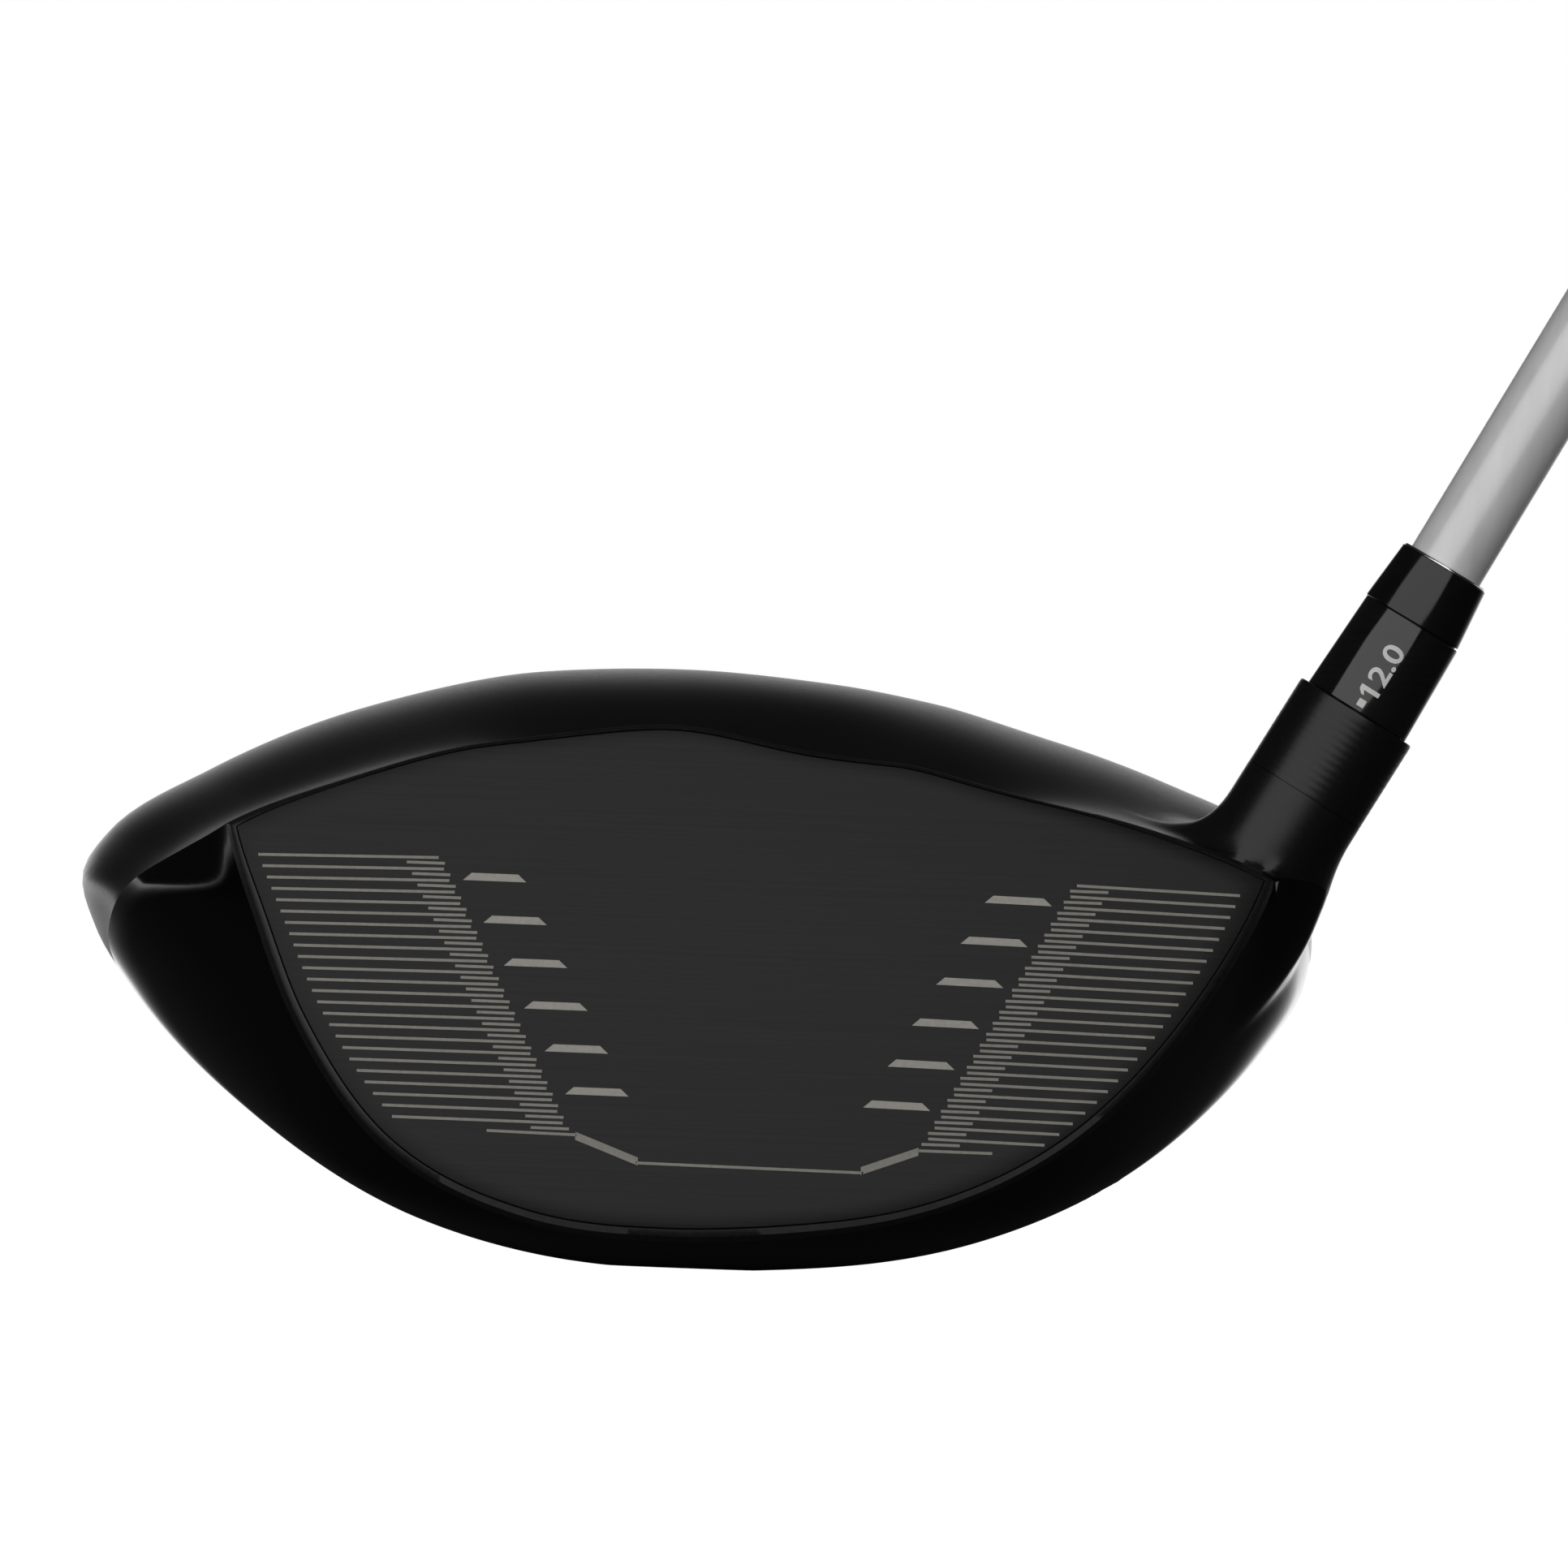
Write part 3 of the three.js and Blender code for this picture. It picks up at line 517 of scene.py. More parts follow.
NECK_REACH = 45  # how far down the hosel axis the neck still swells the head
BLEND_VALLEY, BLEND_HEEL = 6.5, 9.0  # how softly they join, on the crown side and on the heel side
BLEND_FRONT = 0.25  # how much of that is left at the front
BLEND_ENDS, BLEND_LEAST = (22, 40), 0.02  # between these depths down the axis it dies away to this share
CLEAR = 0.5  # points further than this from the head's skin are outside it
LARGEST_STEP, SETTLED, LEAST_SLOPE = 1.0, 1e-4, 0.3  # for the steps that bring a point onto the joined skin
NECK_ROUND, NECK_UP = 12, 2  # how far round the neck, and up the collar, the skin is fitted to it
NECK_STEP, NECK_SIDES = 0.8, 72
STRETCHED = 0.35  # points that moved further than this are spread out evenly


def along_hosel(points):
    """Distances along the hosel axis, across it in the XZ plane, and from it."""
    local = (points - HOSEL_TOP) @ HOSEL_TURN
    return local[:, 2], local[:, 0], np.hypot(local[:, 0], local[:, 1])


def neck_distance(point):
    """Signed distance from the neck's cylinder, and the direction in which it grows."""
    local = (point - HOSEL_TOP) @ HOSEL_TURN
    radial = math.hypot(local[0], local[1])
    off = np.array([radial - HOSEL_R, -local[2] - NECK_REACH])
    outward = np.array([local[0] / radial, local[1] / radial, 0])
    if off[0] > 0 and off[1] > 0:
        distance = math.hypot(*off)
        local_direction = (outward * off[0] + np.array([0, 0, -off[1]])) / distance
    elif off[0] >= off[1]:
        distance, local_direction = off[0], outward
    else:
        distance, local_direction = off[1], np.array([0, 0, -1.0])
    return distance, HOSEL_TURN @ local_direction


def held(share):
    return min(1, max(0, share))


def onto_blend(point, tree, rounds=10):
    """Moves a point onto the surface that joins head and neck smoothly."""
    for _ in range(rounds):
        hit, normal, _, from_head = tree.find_nearest(Vector(point))
        normal, off = np.array(normal), point - np.array(hit)
        if from_head > CLEAR:
            normal = off / from_head
        else:
            from_head = float(off @ normal)
        from_neck, neck_normal = neck_distance(point)
        across, behind, w = (point - HOSEL_TOP) @ HOSEL_TURN / [HOSEL_R, HOSEL_R, 1]
        soft = blend(BLEND_VALLEY, BLEND_HEEL, smooth(held(across / 2 + 0.5)))
        soft *= blend(1, BLEND_FRONT, smooth(held(-behind)))
        soft *= blend(BLEND_LEAST, 1, smooth(held((w + BLEND_ENDS[1]) / (BLEND_ENDS[1] - BLEND_ENDS[0]))))
        share = held(0.5 + 0.5 * (from_neck - from_head) / soft)
        value = blend(from_neck, from_head, share) - soft * share * (1 - share)
        slope = share * normal + (1 - share) * neck_normal
        step = value * slope / max(LEAST_SLOPE, float(slope @ slope))
        length = np.linalg.norm(step)
        point = point - step * min(1, LARGEST_STEP / max(length, 1e-9))
        if length < SETTLED:
            break
    return point


EDGE_ZONE = 8  # how far behind the face's front edge the neck is fitted to it
SCOOP_SLOPE, SCOOP_BEND, SCOOP_SOFT = 0.5, 0.12, 0.25  # how the neck comes forward from the edge of the face
SCOOP_RELAXED = 4  # the skin is smoothed this far out from the face's band


def past_edge(points):
    """How far points lie outside the outline of the face's band."""
    x, _, z = points.T
    angle = np.arctan2(z - AXIS_Z, x)
    return np.hypot(x, z - AXIS_Z) - insert(angle) - band_width(angle)


def behind_edge(points):
    """How far points lie behind the surface that the front edge of the skin lies in."""
    x, y, z = points.T
    return y - face_y(x, z) - BAND_DEPTH


def cut_where(mesh, value):
    """Divides the faces along the line on which value is 0."""
    mesh.verts.ensure_lookup_table()
    values = value(np.array([vert.co for vert in mesh.verts]))
    values[np.abs(values) < NEAR] = 0
    on_line = [vert for vert, v in zip(mesh.verts, values) if v == 0]
    crossing = []
    for edge in mesh.edges:
        a, b = edge.verts
        if values[a.index] * values[b.index] < 0:
            crossing.append((edge, a, values[a.index] / (values[a.index] - values[b.index])))
    for edge, start, share in crossing:
        on_line.append(bmesh.utils.edge_split(edge, start, share)[1])
    bmesh.ops.connect_verts(mesh, verts=on_line)
    mesh.verts.index_update()


def near_neck(points):
    w, _, radial = along_hosel(points)
    beside = (w > -NECK_REACH - NECK_ROUND) & (w < -HOSEL_STRAIGHT + NECK_UP)
    return beside & (radial < HOSEL_R + NECK_ROUND)


def relaxed(mesh, verts, times):
    for _ in range(times):
        bmesh.ops.smooth_vert(mesh, verts=verts, factor=0.5,
                              use_axis_x=True, use_axis_y=True, use_axis_z=True)


def fitted_to_face(mesh):
    """Brings the neck back to the edge of the face's band, where it stands in front of it."""
    cut_where(mesh, lambda points: np.maximum(past_edge(points), behind_edge(points) - EDGE_ZONE))
    mesh.verts.ensure_lookup_table()
    at = np.array([vert.co for vert in mesh.verts])
    past, behind = past_edge(at), behind_edge(at)
    near = near_neck(at) & (past > -NEAR) & (behind < EDGE_ZONE)
    least = -SCOOP_SLOPE * past - SCOOP_BEND * past**2
    eased_back = SCOOP_SOFT * np.logaddexp(behind / SCOOP_SOFT, least / SCOOP_SOFT)
    wanted = np.where(past < NEAR, 0, eased_back)
    for i in np.flatnonzero(near):
        mesh.verts[i].co.y += wanted[i] - behind[i]
    rough = near & (past > NEAR) & (past < SCOOP_RELAXED)
    relaxed(mesh, [mesh.verts[i] for i in np.flatnonzero(rough)], 8)


def temporary(name, points, faces):
    mesh = bpy.data.meshes.new(name)
    mesh.from_pydata(points.tolist(), [], [list(face) for face in faces])
    obj = bpy.data.objects.new(name, mesh)
    scene.collection.objects.link(obj)
    return obj


def head_with_neck():
    """A bmesh of the head's skin with the neck grown out of it."""
    points, faces = closed_head()
    tree = BVHTree.FromPolygons(points.tolist(), [list(face) for face in faces])
    heights = np.arange(-NECK_REACH + 2, -HOSEL_STRAIGHT + 3, NECK_STEP)
    neck = turned([[0, heights[0]], *[[HOSEL_R, w] for w in heights], [0, heights[-1]]], NECK_SIDES)
    head, cutter = temporary("head", points, faces), temporary("neck", *on_hosel(neck))
    union = head.modifiers.new("union", "BOOLEAN")
    union.operation, union.solver, union.object = "UNION", "EXACT", cutter
    bpy.context.view_layer.update()
    made = bmesh.new()
    made.from_object(head, bpy.context.evaluated_depsgraph_get())
    for obj in (head, cutter):
        mesh = obj.data
        bpy.data.objects.remove(obj)
        bpy.data.meshes.remove(mesh)
    bmesh.ops.triangulate(made, faces=[face for face in made.faces if len(face.verts) > 4])
    near = near_neck(np.array([vert.co for vert in made.verts]))
    made.verts.index_update()
    bmesh.ops.triangulate(made, faces=[face for face in made.faces if any(near[v.index] for v in face.verts)])
    moving = [vert for vert, flag in zip(made.verts, near) if flag]
    starts = [vert.co.copy() for vert in moving]
    for vert in moving:
        vert.co = onto_blend(np.array(vert.co), tree)
    stretched = [vert for vert, start in zip(moving, starts) if (vert.co - start).length > STRETCHED]
    for _ in range(4):
        relaxed(made, stretched, 1)
        for vert in stretched:
            vert.co = onto_blend(np.array(vert.co), tree, 4)
    fitted_to_face(made)
    for vert in made.verts:
        vert.co.z = max(vert.co.z, 0.0)
    return made


# ---------------------------------------------------------------- cutting the skin into its pieces

PORT_PLAY = 0.05


def seam_angle(corner, y):
    runs = np.linspace(0, 1.99, 240)
    return np.interp(y, skin(corner, runs)[:, 1], corner + turned_by(corner, runs))


def above_ridges(points):
    """Positive above the ridges that run back from the corners of the face."""
    x, y, z = points.T
    height = z - AXIS_Z + line_drop(y)
    angle = np.arctan2(height, x)
    heel = angle - seam_angle(HEEL_ANGLE, y)
    toe = seam_angle(TOE_ANGLE, y) - np.mod(angle, 2 * math.pi)
    return np.where(x > 0, heel, toe) * np.hypot(x, height)


def behind_face(points):
    """Positive behind the front edge of the skin, or outside the outline of the face's band."""
    return np.maximum(behind_edge(points), past_edge(points))


def behind_seam(points):
    x, y, z = points.T
    return y - mix(np.arctan2(z - AXIS_Z, x), SEAM_Y, SEAM_Y, SEAM_SIDE_Y)


def below_collar(points):
    w, _, radial = along_hosel(points)
    return np.where(radial < 2 * HOSEL_R, -HOSEL_STRAIGHT - w, 1)


def outside_port(points):
    w, _, radial = along_hosel(points)
    return np.where(w < SEAT_TOP, radial - PORT_R - PORT_PLAY, 1)


def sole_z(y):
    line = skin(-math.pi / 2, np.linspace(1, 1.9, 900))
    return float(np.interp(y, line[:, 1], line[:, 2]))


SOLE_SLOPE = math.atan2(sole_z(WEIGHT_Y + 1) - sole_z(WEIGHT_Y - 1), 2)
WEIGHT_TURN = np.array(Matrix.Rotation(SOLE_SLOPE, 3, "X"))
WEIGHT_AT = np.array([0, WEIGHT_Y, sole_z(WEIGHT_Y) + WEIGHT_SINK])


def on_weight(solid):
    """Weight pieces are drawn with +Z into the head and 0 at the weight's outer face."""
    points, faces = solid
    return points @ WEIGHT_TURN.T + WEIGHT_AT, faces


def outside_pocket(points):
    local = (points - WEIGHT_AT) @ WEIGHT_TURN
    return np.where(local[:, 2] < WEIGHT_H, np.hypot(local[:, 0], local[:, 1]) - WEIGHT_R - GAP, 1)


def patch_of(chosen):
    """The points and faces of some of a mesh's faces."""
    index, points, faces = {}, [], []
    for face in chosen:
        corners = []
        for vert in face.verts:
            if vert not in index:
                index[vert] = len(points)
                points.append(list(vert.co))
            corners.append(index[vert])
        faces.append(corners)
    return np.array(points), faces


def normals_of(points, faces):
    """Normals at the points, evened out so that a sliver can't turn one aside."""
    normals = np.zeros_like(points)
    for face in faces:
        loop = points[list(face)]
        normal = np.cross(loop, np.roll(loop, -1, 0)).sum(0)
        normals[list(face)] += normal
    for _ in range(2):
        spread = np.zeros_like(points)
        for face in faces:
            spread[list(face)] += normals[list(face)].sum(0)
        normals = spread
    return normals / np.maximum(np.linalg.norm(normals, axis=1, keepdims=True), 1e-9)


def border_of(faces):
    """The edges that only one of the faces has, in the direction it has them."""
    edges = dict.fromkeys((a, b) for face in faces for a, b in zip(face, [*face[1:], face[0]]))
    return [(a, b) for a, b in edges if (b, a) not in edges]


def shell_of(points, faces):
    """A patch given thickness inwards, closed round its borders."""
    inner = points - SHELL * normals_of(points, faces)
    count = len(points)
    inside = [[count + i for i in reversed(face)] for face in faces]
    rims = [[b, a, count + a, count + b] for a, b in border_of(faces)]
    return np.vstack([points, inner]), [*map(list, faces), *inside, *rims]


head = head_with_neck()
head_tree = BVHTree.FromBMesh(head)
for value in (below_collar, behind_face, above_ridges, behind_seam, outside_port, outside_pocket):
    cut_where(head, value)

centres = np.array([face.calc_center_median() for face in head.faces])
kept = np.ones(len(centres), bool)
for value in (below_collar, behind_face, outside_port, outside_pocket):
    kept &= value(centres) > 0
upper, rear = above_ridges(centres) > 0, behind_seam(centres) > 0
head_faces = list(head.faces)
BODY = "head"


def skin_piece(name, chosen, material, slot, nodes):
    """Some of the head's skin as a piece, its inner edge kept out of the wrench port."""
    patch = patch_of([face for face, flag in zip(head_faces, chosen & kept) if flag])
    points, faces = shell_of(*patch)
    w, _, radial = along_hosel(points)
    axis = HOSEL_TOP + w[:, None] * HOSEL_TURN[:, 2]
    wider = np.where(w < SEAT_TOP, np.maximum(1, (PORT_R + PORT_PLAY) / np.maximum(radial, NEAR)), 1)
    points = axis + (points - axis) * wider[:, None]
    return piece(name, points, faces, material, BODY, slot, nodes)


skin_piece("front_body", upper & ~rear, SATIN, "satin_black", ["front_frame"])
skin_piece("front_skirt", ~upper & ~rear, GLOSS, "gloss_black", ["front_frame"])
skin_piece("crown_skin", upper & rear, SATIN, "crown_black", ["crown_panel"])
skin_piece("sole_skin", ~upper & rear, GLOSS, "gloss_black", ["sole_shell"])

# ---------------------------------------------------------------- face

STRIP = 0.55  # where the band's two facets meet, as a share of its width
STRIP_DEPTH = 0.12
BAND_PLAY, BAND_EASE, BAND_SUNK, BAND_CREASE, BAND_LAP = 0.08, 0.06, 0.04, 0.05, 1.0
LOOP_START = 0.5  # radians before the heel corner


def loop_round_face():
    """The front edge of the skin: angles round the head, and points."""
    border = []
    kept_faces = {face for face, flag in zip(head_faces, kept) if flag}
    at = np.array([vert.co for vert in head.verts])
    on_edge = (np.abs(behind_edge(at)) < 1.5 * NEAR) & (np.abs(past_edge(at)) < 1.5 * NEAR)
    for vert, flag in zip(head.verts, on_edge):
        if flag and any(face in kept_faces for face in vert.link_faces):
            border.append(list(vert.co))
    points = np.array(border)
    first = HEEL_ANGLE - LOOP_START
    angles = np.mod(np.arctan2(points[:, 2] - AXIS_Z, points[:, 0]) - first, 2 * math.pi)
    order = np.argsort(angles)
    return angles[order] + first, points[order]


edge_angles, edge_points = loop_round_face()
for corner in (HEEL_ANGLE, TOE_ANGLE):
    edge_angles[np.argmin(np.abs(edge_angles - corner))] = corner


def band():
    """The chamfer round the insert: a flat strip inside and a sloping one outside."""
    inner = insert(edge_angles) + BAND_PLAY
    outer = np.hypot(edge_points[:, 0], edge_points[:, 2] - AXIS_Z)
    middle = blend(inner, outer, STRIP)
    rows = [
        on_face(edge_angles, inner, PLATE_RIM),
        on_face(edge_angles, inner, BAND_SUNK + BAND_EASE),
        on_face(edge_angles, inner + BAND_EASE, BAND_SUNK),
        on_face(edge_angles, middle, BAND_SUNK + STRIP_DEPTH),
        on_face(edge_angles, middle + BAND_CREASE, 2 * BAND_SUNK + STRIP_DEPTH),
        edge_points + [0, NEAR / 2, 0],
        on_face(edge_angles, outer - BAND_LAP, PLATE_RIM + 0.4),
    ]
    return np.vstack(rows), ring_faces(len(rows), len(edge_angles), closed=True)


piece("face_band", *band(), BAND, BODY, "satin_black", ["front_frame"])


INSERT_BEVEL, INSERT_THICKENING = 0.12, 0.8


def face_insert():
    """The insert, its edge bevelled and its back thicker towards the middle."""
    edge = insert(ANGLES)
    rows = [on_face(ANGLES, (edge - INSERT_BEVEL) * share, 0) for share in np.linspace(0.08, 1, 16)]
    rows += [on_face(ANGLES, edge - INSERT_BEVEL / 3, INSERT_BEVEL / 4), on_face(ANGLES, edge, INSERT_BEVEL)]
    for share in (1, 0.7, 0.35):
        rows.append(on_face(ANGLES, edge * share, PLATE_RIM + INSERT_THICKENING * (1 - share)))
    count = len(ANGLES)
    points = np.vstack(rows)
    faces = [face[::-1] for face in ring_faces(len(rows), count)]
    last = (len(rows) - 1) * count
    middle = on_face(np.zeros(1), np.zeros(1), 0)[0]
    points = np.vstack([points, middle, middle + [0, PLATE_RIM + INSERT_THICKENING, 0]])
    front, back = len(points) - 2, len(points) - 1
    for i in range(count):
        j = (i + 1) % count
        faces += [(front, i, j), (back, last + j, last + i)]
    return points, faces


piece("face_insert", *face_insert(), BRUSHED, BODY, "face_grey", ["face_plate"])

# ---------------------------------------------------------------- score pattern

LINE_WIDTH = 0.3
PROUD, INLAY_BACK = 0.02, 0.2
INLAY_STEP = 1.5


def inlay(outline_top, outline_bottom):
    """A thin painted strip on the face between two lines of the same number of [x, z] points."""
    rows = []
    top, bottom = np.array(outline_top, float), np.array(outline_bottom, float)
    for line, lift in ((bottom, INLAY_BACK), (bottom, -PROUD), (top, -PROUD), (top, INLAY_BACK)):
        rows.append(np.stack([line[:, 0], face_y(line[:, 0], line[:, 1]) + lift, line[:, 1]], -1))
    count = len(top)
    faces = []
    for row in range(4):
        low, high = row * count, (row + 1) % 4 * count
        faces += [(low + i, low + i + 1, high + i + 1, high + i) for i in range(count - 1)]
    faces += [(0, count, 2 * count, 3 * count), tuple((k + 1) * count - 1 for k in (3, 2, 1, 0))]
    return np.vstack(rows), faces


def stroke(start, end, width=LINE_WIDTH):
    """A straight strip from one point to another, rightwards, its ends upright."""
    start, end = np.array(start, float), np.array(end, float)
    count = max(2, math.ceil(abs(end[0] - start[0]) / INLAY_STEP) + 1)
    line = blend(start, end, np.linspace(0, 1, count)[:, None])
    half = width / 2 * math.hypot(*(end - start)) / abs(end[0] - start[0])
    return inlay(line + [0, half], line - [0, half])


def dash(left, right, height, taper):
    """A trapezoid, wider at its foot."""
    share = np.linspace(0, 1, 7)[:, None]
    return inlay(blend(left + [taper, height], right + [-taper, height], share), blend(left, right, share))


SCORE_LINES = 24
SHORT_LENGTH, SHORT_OVERLAP = 4.1, 1.3
SHORT_DROP = 0.6
# The line under the pattern: starts and ends of its strokes, and their widths.
UNDERLINE = [
    ([-21.9, 14.0], [-12.2, 13.9], LINE_WIDTH), ([-12.4, 13.8], [-5.6, 11.3], 0.8),
    ([-5.9, 11.15], [18.6, 11.0], LINE_WIDTH), ([18.3, 11.2], [24.4, 13.5], 0.8),
    ([24.2, 13.6], [32.3, 13.6], LINE_WIDTH),
]
# The first dash on each side, from its left end to its right, and the step to the next one.
DASHES, DASH_HEIGHT, DASH_TAPER = 6, 0.8, 0.9
TOE_DASH, TOE_DASH_STEP = np.array([[-25.5, 40.7], [-18.7, 40.7]]), np.array([2.37, -4.50])
HEEL_DASH, HEEL_DASH_STEP = np.array([[30.5, 40.4], [37.7, 40.3]]), np.array([-2.44, -4.48])

lower = np.linspace(TOE_ANGLE, HEEL_ANGLE + 2 * math.pi, 400)
INSERT_ROUND = on_face(lower, insert(lower), 0)
TOE_EDGE = INSERT_ROUND[INSERT_ROUND[:, 0] < -5][::-1]
HEEL_EDGE = INSERT_ROUND[INSERT_ROUND[:, 0] > 5]
# The long lines of each side: inner ends of the first and the last as [x, z], the insert's edge, and for the
# first and the last how far the outer end stays from that edge and drops; then which way its inner end is.
SCORE_SIDES = [
    (np.array([[-28.2, 43.0], [-13.8, 15.1]]), TOE_EDGE, (1.5, 2.5), (0.4, 0.0), 1),
    (np.array([[40.3, 42.6], [25.4, 14.9]]), HEEL_EDGE, (1.9, 1.0), (0.4, 0.2), -1),
]


def score_lines():
    """Long lines on both sides, each with a short one below its inner end, and the line under them all."""
    strips = []
    for share in np.arange(SCORE_LINES) / (SCORE_LINES - 1):
        for ends, edge, margin, drop, way in SCORE_SIDES:
            inner = blend(*ends, share)
            outer_z = inner[1] - blend(*drop, share)
            outer = [np.interp(outer_z, edge[:, 2], edge[:, 0]) + way * blend(*margin, share), outer_z]
            short = inner + [way * (SHORT_OVERLAP - SHORT_DROP), -SHORT_DROP]
            for ends_of_line in ([outer, inner], [short - [way * SHORT_LENGTH, 0], short]):
                strips.append(stroke(*ends_of_line[::way]))
    return joined(*strips, *[stroke(*line) for line in UNDERLINE])


def dashes():
    marks = []
    for i in range(DASHES):
        for ends, step in ((TOE_DASH, TOE_DASH_STEP), (HEEL_DASH, HEEL_DASH_STEP)):
            marks.append(dash(*(ends + step * i), DASH_HEIGHT, DASH_TAPER))
    return joined(*marks)


piece("score_lines", *score_lines(), PAINT, BODY, None, ["face_plate"])
piece("score_dashes", *dashes(), DASH_PAINT, BODY, None, ["face_plate"])

# ---------------------------------------------------------------- hosel

RING_PITCH, RING_DEPTH = 0.85, 0.012
PORT_END = -62  # past the skin; the bore's end is brought back to it


def hosel_bore():
    """The collar above the neck and the bore below it, down to the screw's seat and the wrench port."""
    heights = np.linspace(-HOSEL_STRAIGHT + 0.06, -0.35, 60)
    rings = RING_DEPTH * (0.5 - 0.5 * np.cos(2 * math.pi * heights / RING_PITCH))
    marks = np.stack([HOSEL_R - 0.01 - rings, heights], -1).tolist()
    outline = [
        [TUBE_R - 0.4, PORT_END], [TUBE_R - 0.4, -HOSEL_STRAIGHT - 0.6],
        [HOSEL_R - 0.12, -HOSEL_STRAIGHT - 0.6], [HOSEL_R - 0.12, -HOSEL_STRAIGHT], *marks,
        [HOSEL_R - 0.05, -0.12], [HOSEL_R - 0.2, 0], [COLLAR_R + 0.15, 0], [COLLAR_R, -0.15],
        [COLLAR_R, -COLLAR_DEPTH], [BORE_R, -COLLAR_DEPTH], [BORE_R, SEAT_TOP],
        [SEAT_HOLE_R, SEAT_TOP], [SEAT_HOLE_R, SEAT_TOP - SEAT_THICK], [PORT_R, SEAT_TOP - SEAT_THICK],
        [PORT_R, PORT_END],
    ]
    points, faces = on_hosel(turned(outline))
    w, _, radial = along_hosel(points)
    axis = Vector(HOSEL_TURN[:, 2])
    for i in np.nonzero(w < PORT_END + 1)[0]:
        start = Vector(points[i]) + axis * (SEAT_TOP - PORT_END)
        hit = head_tree.ray_cast(start, -axis)[0]
        points[i] = np.array(hit + axis * (0.05 if radial[i] < PORT_R + NEAR else SHELL / 2))
    return points, faces


piece("hosel_collar", *hosel_bore(), SATIN, BODY, "satin_black", ["front_frame"])


def teeth_round(low, high):
    """Radii of a ring with index teeth, for turned()."""
    def radius_at(radii, z, angles):
        phase = np.abs(np.mod(angles * TEETH / (2 * math.pi) + 0.5, 1) - 0.5)
        tooth = blend(TOOTH_FOOT_R, TOOTH_TIP_R, smooth(np.clip((TOOTH_HALF - phase) / TOOTH_FLANK, 0, 1)))
        return np.where((z > low) & (z < high) & (radii < SLEEVE_R + 0.2), tooth, radii)
    return radius_at


FLANGE_LOW = 0.02


def sleeve():
    inner = TIP_R + GAP
    top = SLEEVE_TOP - 0.02
    outline = eased([
        [SCREW_R + GAP, SLEEVE_BOTTOM], [SLEEVE_R - 0.6, SLEEVE_BOTTOM], [SLEEVE_R - 0.1, SLEEVE_BOTTOM + 1],
        [SLEEVE_R - 0.1, -COLLAR_DEPTH + 0.9], [SLEEVE_R, -COLLAR_DEPTH + 1.1], [SLEEVE_R, GAP - 0.1],
        [SLEEVE_R + 0.3, FLANGE_LOW], [SLEEVE_FLANGE_R - 0.1, FLANGE_LOW],
        [SLEEVE_FLANGE_R, FLANGE_LOW + 0.1], [SLEEVE_TOP_R, top - 0.06], [SLEEVE_TOP_R - 0.08, top],
        [inner, top], [inner, -TIP_DEPTH + CROSSING + 4], [SCREW_R + GAP, -TIP_DEPTH + CROSSING + 3],
    ], 0.12)
    return on_hosel(turned(outline, 144, teeth_round(-COLLAR_DEPTH + 0.95, GAP - 0.12)))


piece("sleeve", *sleeve(), SLEEVE, "shaft_assembly", "sleeve_black", ["hosel_sleeve"])

DIAL_HEIGHT, DIAL_LENGTH, DIAL_MIDDLE = 2.35, 5.8, 5.3
DIAL_BOLD, DIAL_PROUD, DIAL_SUNK = 0.018, 0.02, 0.1
FLAG = 0.5  # the stroke at the top of the figure 1
MARK, MARK_AT = 0.85, 1.05
LETTER_SLICE = 0.25


def sleeve_radius(w):
    return blend(SLEEVE_FLANGE_R, SLEEVE_TOP_R, (w - GAP - 0.25) / (SLEEVE_TOP - GAP - 0.3))


